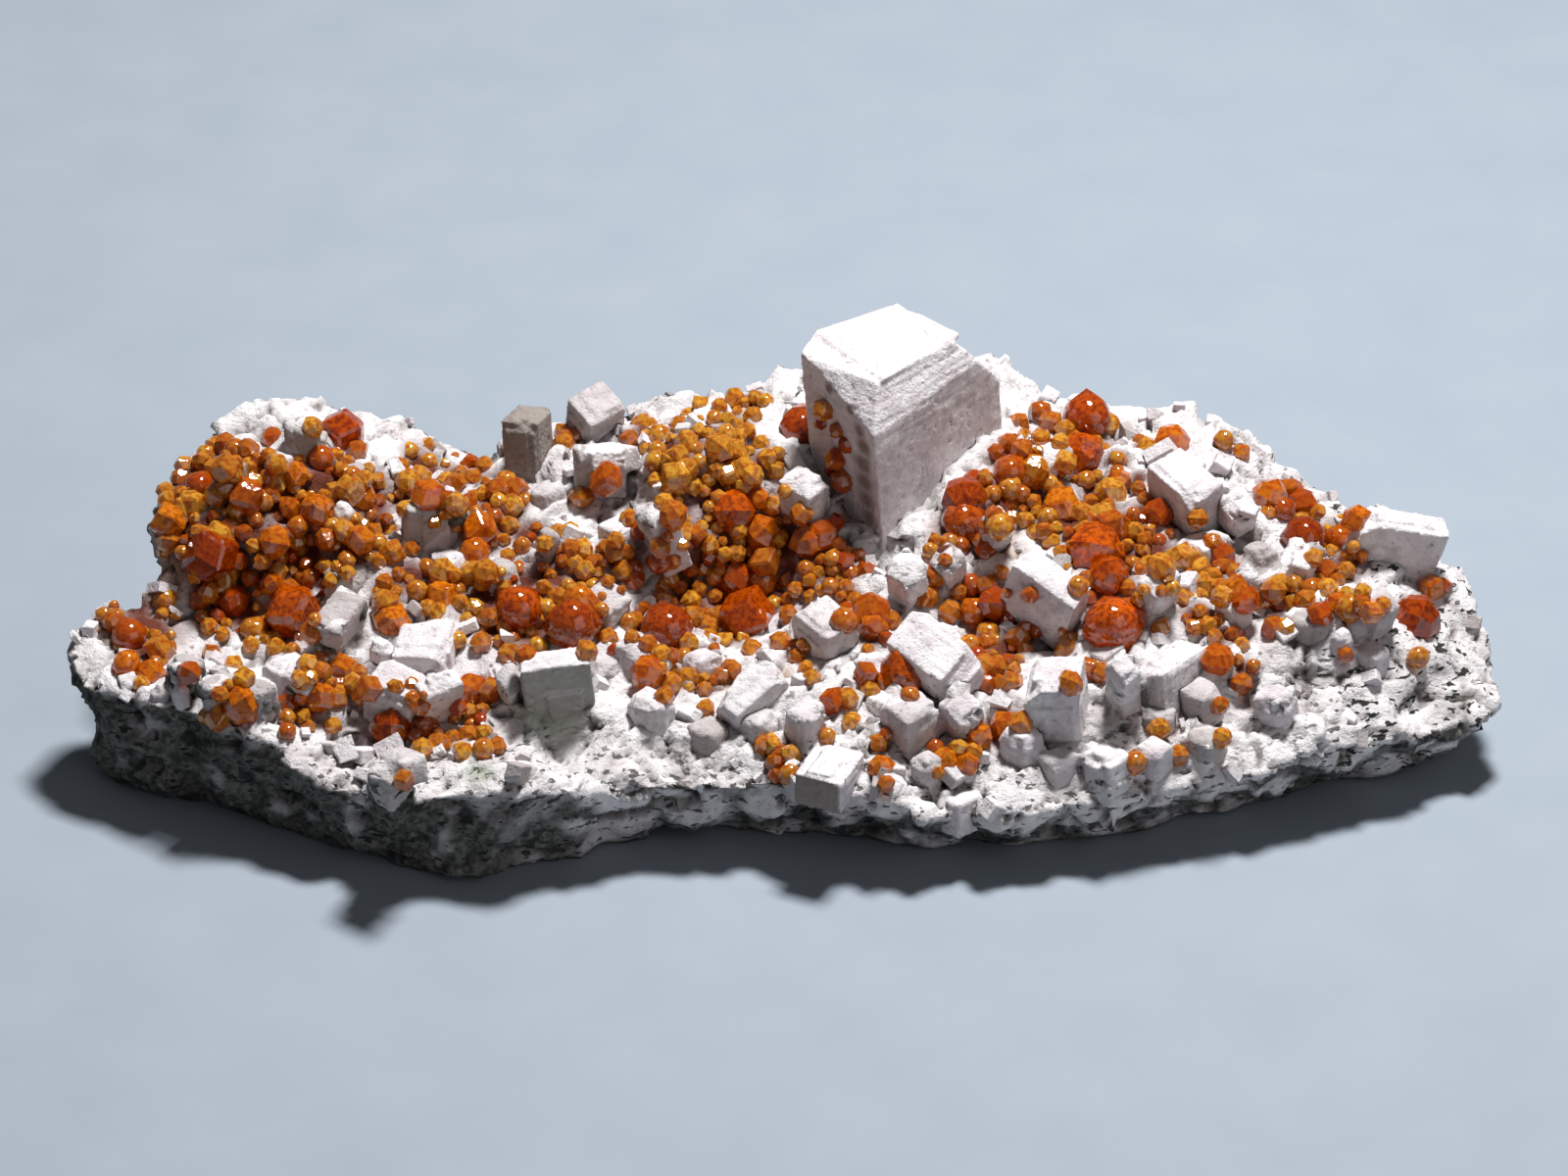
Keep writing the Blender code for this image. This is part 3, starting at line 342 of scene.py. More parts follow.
# Hollows in the rock: column, row and radius in the view, and how deep each goes, in mm
HOLLOWS = [
    (250, 600, 70, 2.5), (640, 512, 40, 2.5), (735, 605, 85, 2.6), (358, 756, 16, 2.0),
    (1070, 655, 32, 2.0), (872, 520, 26, 3.0), (895, 568, 32, 2.4), (930, 560, 26, 1.6),
    (575, 762, 44, 2.0), (1003, 640, 26, 2.2), (1012, 700, 22, 2.0), (1060, 520, 30, 1.2),
    (455, 545, 20, 1.5), (400, 700, 18, 1.5), (1250, 760, 18, 1.2),
]
# Where the rock's colour changes, in the view: column, row and radius
GREEN_FACES = [(562, 728, 34), (490, 790, 14), (600, 700, 16)]
# Rust stains, and brown painted shade in the middle hollow, under the left hill and left of the tall block
RUST_AND_SHADE_STAINS = [
    (796, 691, 14), (752, 700, 14), (530, 640, 30), (1020, 560, 22), (455, 760, 24), (700, 620, 26),
    (172, 588, 28), (880, 520, 30),
]

# The lamps: place, aim, and width and height in mm, and power in watts
LAMPS = {
    "top_lamp": ((85, 120, 500), (0, 5, 10), (100, 80), 4.8),
    "side_lamp": ((420, -460, 360), (0, 0, 15), (600, 600), 0.75),
}
# How bright the room is, and how far the floor reaches, in m
ROOM_GLOW = 0.1
FLOOR_REACH = 3.0


# Reading the view


def view_ray(column, row):
    """The direction from the eye through a place in the view."""
    across = (column - VIEW_MIDDLE[0]) * PIXEL
    down = (row - VIEW_MIDDLE[1]) * PIXEL
    return (VIEW_AIM + VIEW_RIGHT * across - VIEW_UP * down - EYE).normalized()


def in_view(edge, away):
    """A short vector of the view, in pixels, with its distance away from the eye, as a world vector."""
    return (VIEW_RIGHT * edge[0] - VIEW_UP * edge[1] + VIEW_AWAY * away) * PIXEL


def box_edges(first, second, third):
    """The three edges of a square corner that is seen with these edges in the view."""
    dots = []
    for one, other in ((first, second), (first, third), (second, third)):
        dot = one[0] * other[0] + one[1] * other[1]
        dots.append(max(-dot, LEAST_SPREAD * math.hypot(*one) * math.hypot(*other)))
    return [
        in_view(first, math.sqrt(dots[0] * dots[1] / dots[2])),
        in_view(second, math.sqrt(dots[0] * dots[2] / dots[1])),
        in_view(third, math.sqrt(dots[1] * dots[2] / dots[0])),
    ]


def corner_of(node, column, row):
    """The node's own corner that is seen at this place, nearest the eye."""
    ray = view_ray(column, row)
    best = None
    for vertex in frame["nodes"][node].data.vertices:
        reach = vertex.co - EYE
        along = reach.dot(ray)
        score = (reach - ray * along).length + along * 0.05
        if best is None or score < best[0]:
            best = (score, vertex.co.copy())
    return best[1]


def land(tree, column, row):
    """Where the view ray meets the surface, or None where it misses."""
    return tree.ray_cast(EYE, view_ray(column, row))[0]


# Mesh tools


def finished(name, mesh):
    """The mesh's data, done with as a bmesh."""
    data = bpy.data.meshes.new(name)
    mesh.to_mesh(data)
    mesh.free()
    return data


def join(mesh, other):
    """Takes another bmesh into this one."""
    data = finished("other", other)
    mesh.from_mesh(data)
    bpy.data.meshes.remove(data)


def new_piece(name, mesh):
    obj = bpy.data.objects.new(name, finished(name, mesh))
    bpy.context.scene.collection.objects.link(obj)
    return obj


def opened(obj):
    mesh = bmesh.new()
    mesh.from_mesh(obj.data)
    mesh.normal_update()
    return mesh


def close(mesh, obj):
    mesh.to_mesh(obj.data)
    mesh.free()
    obj.data.shade_smooth()


def voxel_remesh(obj, size):
    """Joins what overlaps and gives the skin even, small faces."""
    remesh = obj.modifiers.new("Even", "REMESH")
    remesh.mode = "VOXEL"
    remesh.voxel_size = size
    graph = bpy.context.evaluated_depsgraph_get()
    data = bpy.data.meshes.new_from_object(obj.evaluated_get(graph))
    obj.modifiers.clear()
    old, obj.data = obj.data, data
    bpy.data.meshes.remove(old)
    data.name = obj.name


def face_out(mesh):
    """Turns every face outwards, also on shells too small for the operator to judge."""
    bmesh.ops.recalc_face_normals(mesh, faces=mesh.faces)
    if mesh.calc_volume(signed=True) < 0:
        bmesh.ops.reverse_faces(mesh, faces=mesh.faces)


def slice_off(mesh, point, facing):
    """Cuts away what lies beyond a plane, and closes the cut."""
    cut = bmesh.ops.bisect_plane(
        mesh, geom=mesh.verts[:] + mesh.edges[:] + mesh.faces[:], plane_co=point, plane_no=facing,
        clear_outer=True,
    )
    edges = [item for item in cut["geom_cut"] if isinstance(item, bmesh.types.BMEdge)]
    if edges:
        bmesh.ops.contextual_create(mesh, geom=edges)


def points_of(data):
    points = np.empty(len(data.vertices) * 3, np.float32)
    data.vertices.foreach_get("co", points)
    return points.reshape(-1, 3)


def keep_values(obj, name, values):
    """Keeps a number or a vector for each vertex, for the material to read."""
    values = np.asarray(values, np.float32)
    kind, key = ("FLOAT", "value") if values.ndim == 1 else ("FLOAT_VECTOR", "vector")
    layer = obj.data.attributes.new(name, kind, "POINT")
    layer.data.foreach_set(key, values.ravel())


def paint_crevice_shade(obj, tree):
    """Keeps how much of the sky what stands near hides from each vertex, where the materials paint shade."""
    shares = []
    for vertex in obj.data.vertices:
        # The rays start just clear of the skin, and those that would graze it are left out
        start = vertex.co + vertex.normal * 0.25 * MM
        open_sides = [ray for ray in SKY_RAYS if ray.dot(vertex.normal) > 0.05]
        hits = sum(tree.ray_cast(start, ray, CREVICE_REACH)[0] is not None for ray in open_sides)
        shares.append(hits / max(1, len(open_sides)))
    keep_values(obj, "crevice", shares)


def tree_of(objects):
    """All these objects' faces in one tree that rays can be cast on."""
    points = []
    faces = []
    for obj in objects:
        start = len(points)
        points += [vertex.co.copy() for vertex in obj.data.vertices]
        faces += [[start + i for i in polygon.vertices] for polygon in obj.data.polygons]
    return BVHTree.FromPolygons(points, faces)


def random_turn(draw):
    axis = Vector((draw.gauss(0, 1), draw.gauss(0, 1), draw.gauss(0, 1))).normalized()
    return Matrix.Rotation(draw.uniform(0, math.tau), 4, axis)


def strew(name, plants):
    """One piece of many copies; each plant is a shape, its place as a matrix, and its tint."""
    mesh = bmesh.new()
    tints = []
    own_places = []
    for shape, matrix, tint in plants:
        copy = shape.copy()
        copy.transform(matrix)
        mesh.from_mesh(copy)
        bpy.data.meshes.remove(copy)
        tints.append(np.full(len(shape.vertices), tint, np.float32))
        own_places.append(points_of(shape) * matrix.median_scale + tint * 0.05)
    piece = new_piece(name, mesh)
    keep_values(piece, "tint", np.concatenate(tints))
    keep_values(piece, "grain", np.concatenate(own_places))
    return piece


# Colour and materials


def linear(code):
    """A linear colour from an sRGB hex code."""
    parts = [int(code[i : i + 2], 16) / 255 for i in (1, 3, 5)]
    return tuple(p / 12.92 if p <= 0.04045 else ((p + 0.055) / 1.055) ** 2.4 for p in parts) + (1.0,)


def add(tree, kind, inputs=None, **settings):
    """Adds a node. inputs gives a socket its plain value, or (node, output) to link it from."""
    node = tree.nodes.new(kind)
    for name, value in settings.items():
        setattr(node, name, value)
    for socket, value in (inputs or {}).items():
        if isinstance(value, tuple) and isinstance(value[0], bpy.types.Node):
            tree.links.new(value[0].outputs[value[1]], node.inputs[socket])
        else:
            node.inputs[socket].default_value = value
    return node


def new_material(name):
    material = bpy.data.materials.new(name)
    material.use_nodes = True
    material.node_tree.nodes.clear()
    return material, material.node_tree


def chalky_feldspar():
    """Weathered potassium feldspar, grown as blocks. The eye sees dull white with a breath of lilac,
    a fine grit, small pits and faint steps that run along each block."""
    material, tree = new_material("chalky_feldspar")
    here = add(tree, "ShaderNodeTexCoord")
    own = add(tree, "ShaderNodeAttribute", attribute_name="grain")
    tint = add(tree, "ShaderNodeAttribute", attribute_name="tint")
    green = add(tree, "ShaderNodeAttribute", attribute_name="green")
    crevice = add(tree, "ShaderNodeAttribute", attribute_name="crevice")
    # Sizes in mm. The real grit is finer than a pixel, so it is drawn as coarse as it needs to show
    spread = {
        name: add(tree, "ShaderNodeTexNoise", {
            "Vector": (here, "Object"), "Scale": 1 / (size * MM), "Detail": detail, "Roughness": rough,
        })
        for name, size, detail, rough in (
            ("cloud", 5.0, 3.0, 0.5), ("mottle", 1.2, 4.0, 0.6),
            ("grit", 0.3, 3.0, 0.7), ("dirt", 0.6, 4.0, 0.7),
        )
    }
    cloud = add(tree, "ShaderNodeMapRange", {0: (spread["cloud"], 0), 1: 0.4, 2: 0.65})
    mottle = add(tree, "ShaderNodeMapRange", {0: (spread["mottle"], 0), 1: 0.45, 2: 0.7, 4: 0.8})
    dirt = add(tree, "ShaderNodeMapRange", {0: (spread["dirt"], 0), 1: 0.62, 2: 0.7, 4: 0.75})
    # Painted shade: dark brown where what stands near hides the sky
    painted_crevice_shade = add(tree, "ShaderNodeMapRange", {0: (crevice, "Fac"), 1: 0.3, 2: 1.0, 4: 0.9})
    colour = linear("#E2DEDF")
    # The tint is the blocks' own darker tone, and painted shade on one block's lower left side
    for share, over in (
        ((cloud, 0), "#D2C9CC"), ((mottle, 0), "#BBB0B4"), ((tint, "Fac"), "#6C5E50"),
        ((green, "Fac"), "#767A6C"), ((dirt, 0), "#5F5752"), ((painted_crevice_shade, 0), "#4C3A31"),
    ):
        colour = (add(tree, "ShaderNodeMix", {0: share, 6: colour, 7: linear(over)}, data_type="RGBA"), 2)
    # The steps are ten times as long as they are wide, along the block's longest edge
    along = add(tree, "ShaderNodeMapping", {"Vector": (own, "Vector"), "Scale": (1.0, 1.0, 0.1)})
    steps = add(tree, "ShaderNodeTexNoise", {"Vector": (along, 0), "Scale": 1 / (0.55 * MM), "Detail": 2.0})
    pits = add(tree, "ShaderNodeTexVoronoi", {"Vector": (here, "Object"), "Scale": 1 / (1.0 * MM)})
    pit = add(tree, "ShaderNodeMapRange", {0: (pits, 0), 1: 0.0, 2: 0.28})
    normal = None
    for source, depth, strength in ((steps, 0.12, 0.6), (spread["grit"], 0.2, 1.0), (pit, 0.16, 0.6)):
        relief = {"Height": (source, 0), "Distance": depth * MM, "Strength": strength}
        if normal:
            relief["Normal"] = (normal, 0)
        normal = add(tree, "ShaderNodeBump", relief)
    shader = add(tree, "ShaderNodeBsdfPrincipled", {
        "Base Color": colour, "Roughness": 0.88, "IOR": 1.53, "Normal": (normal, 0),
    })
    add(tree, "ShaderNodeOutputMaterial", {"Surface": (shader, 0)})
    return material


def broken_rock():
    """Broken rock. The eye sees crumbly white feldspar on top, black mica specks to the right, and dark
    grey schist with a salt-and-pepper grain on the front left and underneath."""
    material, tree = new_material("broken_rock")
    here = add(tree, "ShaderNodeTexCoord")
    own = {
        name: add(tree, "ShaderNodeAttribute", attribute_name=name)
        for name in ("schist", "mica", "hollow", "green", "rust", "bed", "crevice")
    }
    # Sizes in mm. The schist's real grains are near a pixel wide, so they are drawn several times coarser
    spread = {
        name: add(tree, "ShaderNodeTexNoise", {
            "Vector": (here, "Object"), "Scale": 1 / (size * MM), "Detail": detail, "Roughness": rough,
        })
        for name, size, detail, rough in (
            ("cloud", 4.0, 4.0, 0.5), ("fine", 0.8, 4.0, 0.65), ("crumbs", 1.3, 3.0, 0.7),
            ("grit", 0.35, 4.0, 0.75), ("dirt", 1.6, 5.0, 0.7), ("lens", 2.6, 2.0, 0.5),
        )
    }
    cloud = add(tree, "ShaderNodeMapRange", {0: (spread["cloud"], 0), 1: 0.38, 2: 0.68})
    fine = add(tree, "ShaderNodeMapRange", {0: (spread["fine"], 0), 1: 0.42, 2: 0.62})
    flat = add(tree, "ShaderNodeMapping", {"Vector": (here, "Object"), "Scale": (0.6, 0.8, 1.7)})
    flakes = add(tree, "ShaderNodeTexNoise", {"Vector": (flat, 0), "Scale": 1 / (0.9 * MM), "Detail": 3.0})
    pepper = add(tree, "ShaderNodeMapRange", {0: (flakes, 0), 1: 0.59, 2: 0.62})
    holes = add(tree, "ShaderNodeTexVoronoi", {"Vector": (here, "Object"), "Scale": 1 / (1.2 * MM)})
    pore = add(tree, "ShaderNodeMapRange", {0: (holes, 0), 1: 0.24, 2: 0.12, 3: 0.0, 4: 0.8})
    pores = add(tree, "ShaderNodeMath", {0: (pore, 0), 1: (cloud, 0)}, operation="MULTIPLY")
    dirt = add(tree, "ShaderNodeMapRange", {0: (spread["dirt"], 0), 1: 0.6, 2: 0.7, 4: 0.6})
    mica = add(tree, "ShaderNodeMath", {0: (pepper, 0), 1: (own["mica"], "Fac")}, operation="MULTIPLY")
    # Painted shade: dark brown where what stands near hides the sky
    painted_crevice_shade = add(tree, "ShaderNodeMapRange", {0: (own["crevice"], "Fac"), 1: 0.3, 2: 1.0, 4: 0.9})
    lens = add(tree, "ShaderNodeMapRange", {0: (spread["lens"], 0), 1: 0.58, 2: 0.64, 4: 0.85})
    schist = linear("#454440")
    for share, over in (
        ((cloud, 0), "#2A2A27"), ((fine, 0), "#73716A"), ((lens, 0), "#171814"), ((pepper, 0), "#10110E"),
    ):
        schist = (add(tree, "ShaderNodeMix", {0: share, 6: schist, 7: linear(over)}, data_type="RGBA"), 2)
    colour = linear("#E6E2E2")
    # Painted shade darkens the cracks, the crevices and the gaps in the garnet crusts, and some of the rust
    for share, over in (
        ((cloud, 0), "#D2CACB"), ((dirt, 0), "#9A908C"), ((own["hollow"], "Fac"), "#6A605B"),
        ((painted_crevice_shade, 0), "#43342C"), ((pores, 0), "#4A433D"), ((own["green"], "Fac"), "#9A9E8E"),
        ((own["rust"], "Fac"), "#9C6F3E"), ((own["bed"], "Fac"), "#5C2208"), ((mica, 0), "#23231E"),
    ):
        colour = (add(tree, "ShaderNodeMix", {0: share, 6: colour, 7: linear(over)}, data_type="RGBA"), 2)
    whole = {0: (own["schist"], "Fac"), 6: colour, 7: schist}
    colour = (add(tree, "ShaderNodeMix", whole, data_type="RGBA"), 2)
    normal = add(tree, "ShaderNodeBump", {
        "Height": (spread["crumbs"], 0), "Distance": 0.5 * MM, "Strength": 0.8,
    })
    normal = add(tree, "ShaderNodeBump", {
        "Height": (spread["grit"], 0), "Distance": 0.25 * MM, "Strength": 0.9, "Normal": (normal, 0),
    })
    shader = add(tree, "ShaderNodeBsdfPrincipled", {
        "Base Color": colour, "Roughness": 0.9, "IOR": 1.53, "Normal": (normal, 0),
    })
    add(tree, "ShaderNodeOutputMaterial", {"Surface": (shader, 0)})
    return material


def spessartine(name, pale, rich, let_through, density):
    """Spessartine garnet, a glassy orange gem with smooth natural faces. The stone takes up blue and then
    green on the light's way through, so the eye sees honey yellow in thin crystals and red in thick ones."""
    material, tree = new_material(name)
    here = add(tree, "ShaderNodeTexCoord")
    tint = add(tree, "ShaderNodeAttribute", attribute_name="tint")
    # Growth ripples and the flaws within are finer than a pixel, so both are drawn coarser than they are;
    # the flaws' dark patches are partly painted refraction
    ripple, flaws_and_refraction = (
        add(tree, "ShaderNodeTexNoise", {
            "Vector": (here, "Object"), "Scale": 1 / (size * MM), "Detail": detail,
        })
        for size, detail in ((0.7, 2.0), (0.5, 3.0))
    )
    normal = add(tree, "ShaderNodeBump", {"Height": (ripple, 0), "Distance": 0.05 * MM, "Strength": 0.6})
    flaw_and_refraction_share = add(tree, "ShaderNodeMapRange", {0: (flaws_and_refraction, 0), 1: 0.44, 2: 0.6, 4: 0.7})
    colour = linear(pale)
    # The tint is partly painted shade, from the hidden sky
    for share in ((tint, "Fac"), (flaw_and_refraction_share, 0)):
        colour = (add(tree, "ShaderNodeMix", {0: share, 6: colour, 7: linear(rich)}, data_type="RGBA"), 2)
    shader = add(tree, "ShaderNodeBsdfPrincipled", {
        "Base Color": colour, "Roughness": 0.05, "IOR": 1.80, "Transmission Weight": 0.5,
        "Normal": (normal, 0),
    })
    inside = add(tree, "ShaderNodeVolumeAbsorption", {"Color": linear(let_through), "Density": density})
    add(tree, "ShaderNodeOutputMaterial", {"Surface": (shader, 0), "Volume": (inside, 0)})
    return material


def matt_floor():
    """A matt painted board, with a grain too faint to take the eye off the stone."""
    material, tree = new_material("matt_floor")
    here = add(tree, "ShaderNodeTexCoord")
    grain = add(tree, "ShaderNodeTexNoise", {
        "Vector": (here, "Object"), "Scale": 1 / (12 * MM), "Detail": 3.0,
    })
    share = add(tree, "ShaderNodeMapRange", {0: (grain, 0), 1: 0.3, 2: 0.8})
    greys = {0: (share, 0), 6: linear("#8E97A1"), 7: linear("#89929D")}
    colour = add(tree, "ShaderNodeMix", greys, data_type="RGBA")
    shader = add(tree, "ShaderNodeBsdfPrincipled", {"Base Color": (colour, 2), "Roughness": 0.75})
    add(tree, "ShaderNodeOutputMaterial", {"Surface": (shader, 0)})
    return material


def dress(piece, material, slot, *nodes):
    """Gives a piece its material, its body, and the solids that it stands for; the slot is not used."""
    piece.data.materials.clear()
    piece.data.materials.append(material)
    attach(piece, "root")
    if nodes:
        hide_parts(*nodes)


# The rock


def facets(place, size, tilt):
    """The height of a surface broken into blunt cells, each leaning its own way, and the gap between two."""
    bent = place / size + noise.noise_vector(place / (size * 1.3)) * 0.55
    distances, centres = noise.voronoi(bent)
    centre = centres[0]
    # The odd factors keep a cell's lean and its height apart
    lean = noise.noise_vector(centre * 7.3)
    height = noise.noise(centre * 11.7) + (bent - centre).dot(lean) * tilt
    return height, distances[1] - distances[0]


def schist_share(place, facing):
    """How much of the dark schist shows here: the front left wall, the underside and the back's foot."""
    ragged = noise.fractal(place / (6 * MM), 0.8, 2.0, 3) * 0.4
    # From the left to the right, less of the steep wall is schist
    right = min(max((place.x + 22 * MM) / (14 * MM), 0), 1)
    steep = (0.30 - facing.z + ragged - 0.45 * right) / 0.25
    left = (-20 * MM - place.x) / (8 * MM) + ragged * 2
    under = (-0.25 - facing.z + ragged - 0.17 * right) / 0.25
    low = (5.0 * MM - place.z) / (2.0 * MM) + ragged * 3
    back = (place.y - 5 * MM) / (6 * MM)
    share = max(min(steep, left), under, min(low, steep, back))
    return min(1.0, max(0.0, share))


def near_places(points, tree, places):
    """A number that is one within half the radius of a place in the view, and none past one and a half."""
    total = np.zeros(len(points), np.float32)
    for column, row, radius in places:
        spot = land(tree, column, row)
        if spot is None:
            continue
        gap = np.linalg.norm(points - np.array(spot), axis=1)
        total = np.maximum(total, np.clip(1.5 - gap / (radius * PIXEL), 0, 1))
    return total


def carve(mesh, tree):
    """Deepens the rock where its hollows are, away from the eye."""
    for column, row, radius, depth in HOLLOWS:
        spot = land(tree, column, row)
        for vertex in mesh.verts:
            share = 1 - ((vertex.co - spot).length / (radius * PIXEL)) ** 2
            if share > 0:
                vertex.co += VIEW_AWAY * (depth * MM * share * share)
    mesh.normal_update()


def make_rock():
    """The slab with a broken, crumbly skin, and numbers that say where its colour changes."""
    mesh = bmesh.new()
    mesh.from_mesh(frame["nodes"]["matrix_slab"].data)
    bmesh.ops.remove_doubles(mesh, verts=mesh.verts, dist=0.02 * MM)
    rock = new_piece("rock", mesh)
    voxel_remesh(rock, ROCK_VOXEL)
    mesh = opened(rock)
    carve(mesh, tree_of([rock]))
    hollows = []
    schists = []
    moves = []
    for vertex in mesh.verts:
        place = vertex.co
        schist = schist_share(place, vertex.normal)
        coarse, gap = facets(place, *COARSE_CELLS)
        small, small_gap = facets(place, *SMALL_CELLS)
        # The schist lies in thin layers, nearly level
        layered = Vector((place.x * 0.35, place.y * 0.35, place.z * 1.6)) / (1.6 * MM)
        layers = noise.fractal(layered, 0.8, 2.0, 3)
        rough = noise.fractal(place / (2.2 * MM), 0.7, 2.0, 3)
        # From here on in mm. Cracks run along the gaps between cells, deeper between the coarse ones
        crack = max(0.0, 1.0 - gap / 0.07) * 0.6 + max(0.0, 1.0 - small_gap / 0.1) * 0.2
        white = coarse * 0.8 + small * 0.3 + rough * 0.08 - crack
        dent = min(0.0, noise.noise(place / (3.2 * MM)) + 0.12) * 2.4
        grey = layers * 0.5 + rough * 0.35 + coarse * 0.5 + small * 0.2 + dent
        move = (white * (1 - schist) + grey * schist) * MM
        # The foot keeps its flat base
        if place.z < 1.2 * MM:
            move = min(move, 0.0) * 0.3
        moves.append(vertex.normal * move)
        schists.append(schist)
        # Cracks and sunken cells are darkened in the colour, as painted shade
        hollows.append(min(1.0, crack * 1.1 + max(0.0, -white - 0.3) * 0.8))
    for vertex, move in zip(mesh.verts, moves):
        vertex.co += move
        vertex.co.z = max(vertex.co.z, 0.0)
    close(mesh, rock)
    # Mica specks lie at the right end and along the front
    points = points_of(rock.data)
    right = np.clip((points[:, 0] - 42 * MM) / (14 * MM), 0, 1)
    front = np.clip((-11 * MM - points[:, 1]) / (6 * MM), 0, 1) * 0.75
    tree = tree_of([rock])
    keep_values(rock, "schist", schists)
    keep_values(rock, "hollow", hollows)
    keep_values(rock, "mica", np.clip(np.maximum(right, front) + 0.1, 0, 1))
    keep_values(rock, "green", near_places(points, tree, GREEN_FACES) * 0.8)
    # Rust, and in some places brown painted shade
    keep_values(rock, "rust", near_places(points, tree, RUST_AND_SHADE_STAINS) * 0.6)
    # The rock in the garnet patches is painted dark red-brown, as painted shade in the gaps between garnets
    keep_values(rock, "bed", near_places(points, tree, GARNET_PATCHES))
    return rock


# Feldspar


def add_block(mesh, start, edges, pulls=(0.0, 0.0, 0.0), pushes=(0.0, 0.0, 0.0)):
    """A box on three edges from a corner, drawn in at both ends of each edge and pushed along it."""
    made = bmesh.ops.create_cube(mesh, size=1.0)
    for vertex in made["verts"]:
        place = start.copy()
        for edge, pull, push, side in zip(edges, pulls, pushes, vertex.co):
            axis = edge.normalized()
            place += axis * ((0.5 + side) * (edge.length - 2 * pull) + pull + push)
        vertex.co = place


def block_shell(start, edges, draw):
    """A feldspar block with chipped corners and a raised growth plate on each of its three near sides."""
    mesh = bmesh.new()
    add_block(mesh, start, edges)
    face_out(mesh)
    middle = start + (edges[0] + edges[1] + edges[2]) / 2
    for _ in range(draw.choice((1, 2, 3))):
        corner = start + edges[0] * draw.choice((0, 1)) + edges[1] * draw.choice((0, 1))
        lean = Vector((draw.uniform(-1, 1), draw.uniform(-1, 1), draw.uniform(-0.3, 0.7)))
        facing = ((corner - middle).normalized() + lean * 0.5).normalized()
        least = min(edge.length for edge in edges)
        slice_off(mesh, corner - facing * draw.uniform(0.1, 0.36) * least, facing)
    for side in range(3):
        sizes = [edge.length for edge in edges]
        pulls = [draw.uniform(0.08, 0.26) * size for size in sizes]
        pushes = [draw.uniform(-0.08, 0.08) * size for size in sizes]
        pulls[side] = 0.0
        pushes[side] = -draw.uniform(0.1, 0.35) * MM
        plate = [edge.copy() for edge in edges]
        plate[side] = edges[side].normalized() * min(1.2 * MM, sizes[side] * 0.8)
        add_block(mesh, start, plate, pulls, pushes)
    return mesh


def weather(block, start, edges, layers=0.0):
    """Wears a block's edges and gives its skin lumps, pits, steps that run along it, and level layers."""
    axes = [edge.normalized() for edge in sorted(edges, key=lambda edge: edge.length)]
    mesh = opened(block)
    bmesh.ops.smooth_vert(
        mesh, verts=mesh.verts, factor=0.4, use_axis_x=True, use_axis_y=True, use_axis_z=True
    )
    mesh.normal_update()
    own_places = []
    moves = []
    for vertex in mesh.verts:
        # The place along the block's edges, the longest one last. The moves are in mm
        own = Vector([(vertex.co - start).dot(axis) for axis in axes])
        steps = noise.noise(Vector((own.x / (0.9 * MM), own.y / (0.9 * MM), own.z / (7 * MM)))) * 0.05
        lumps = noise.fractal(vertex.co / (1.6 * MM), 0.8, 2.0, 3) * 0.05
        # Only the deepest of the noise makes pits
        pit = min(0.0, noise.noise(vertex.co / (0.7 * MM)) + 0.42) * 0.6
        if layers:
            level = noise.noise(Vector((own.x / (6 * MM), own.y / (6 * MM), own.z / (0.42 * MM))))
            steps += level * layers * max(0.05, min(1.0, 1.0 + own.z / (3 * MM)))
        moves.append(vertex.normal * (steps + lumps + pit) * MM)
        own_places.append(own)
    for vertex, move in zip(mesh.verts, moves):
        vertex.co += move
    close(mesh, block)
    keep_values(block, "grain", own_places)


def make_blocks(draw):
    """The named crystals but the tall one, each in its own solid's place."""
    blocks = []
    for name, (corner, *edges, tint) in BLOCKS.items():
        start = corner_of(name, *corner)
        first, second, third = box_edges(*edges)
        edges = [first, second, third + third.normalized() * LONG_ROOTS.get(name, BLOCK_ROOT)]
        block = new_piece(name.replace("feldspar", "block"), block_shell(start, edges, draw))
        voxel_remesh(block, BLOCK_VOXEL)
        weather(block, start, edges)
        tints = np.full(len(block.data.vertices), tint)
        # Painted shade: the lower left side of this block is darkened
        if name == SHADED_BLOCK:
            lower_left = in_view((-1.0, 0.5), 0.0).normalized()
            facing = np.array([vertex.normal.dot(lower_left) for vertex in block.data.vertices])
            tints += 0.8 * np.clip(facing * 3, 0, 1)
        keep_values(block, "tint", tints)
        if name == GREEN_BLOCK:
            faces_front = [max(0.0, 0.55 - vertex.normal.z) for vertex in block.data.vertices]
            keep_values(block, "green", faces_front)
        blocks.append((block, name))
    return blocks


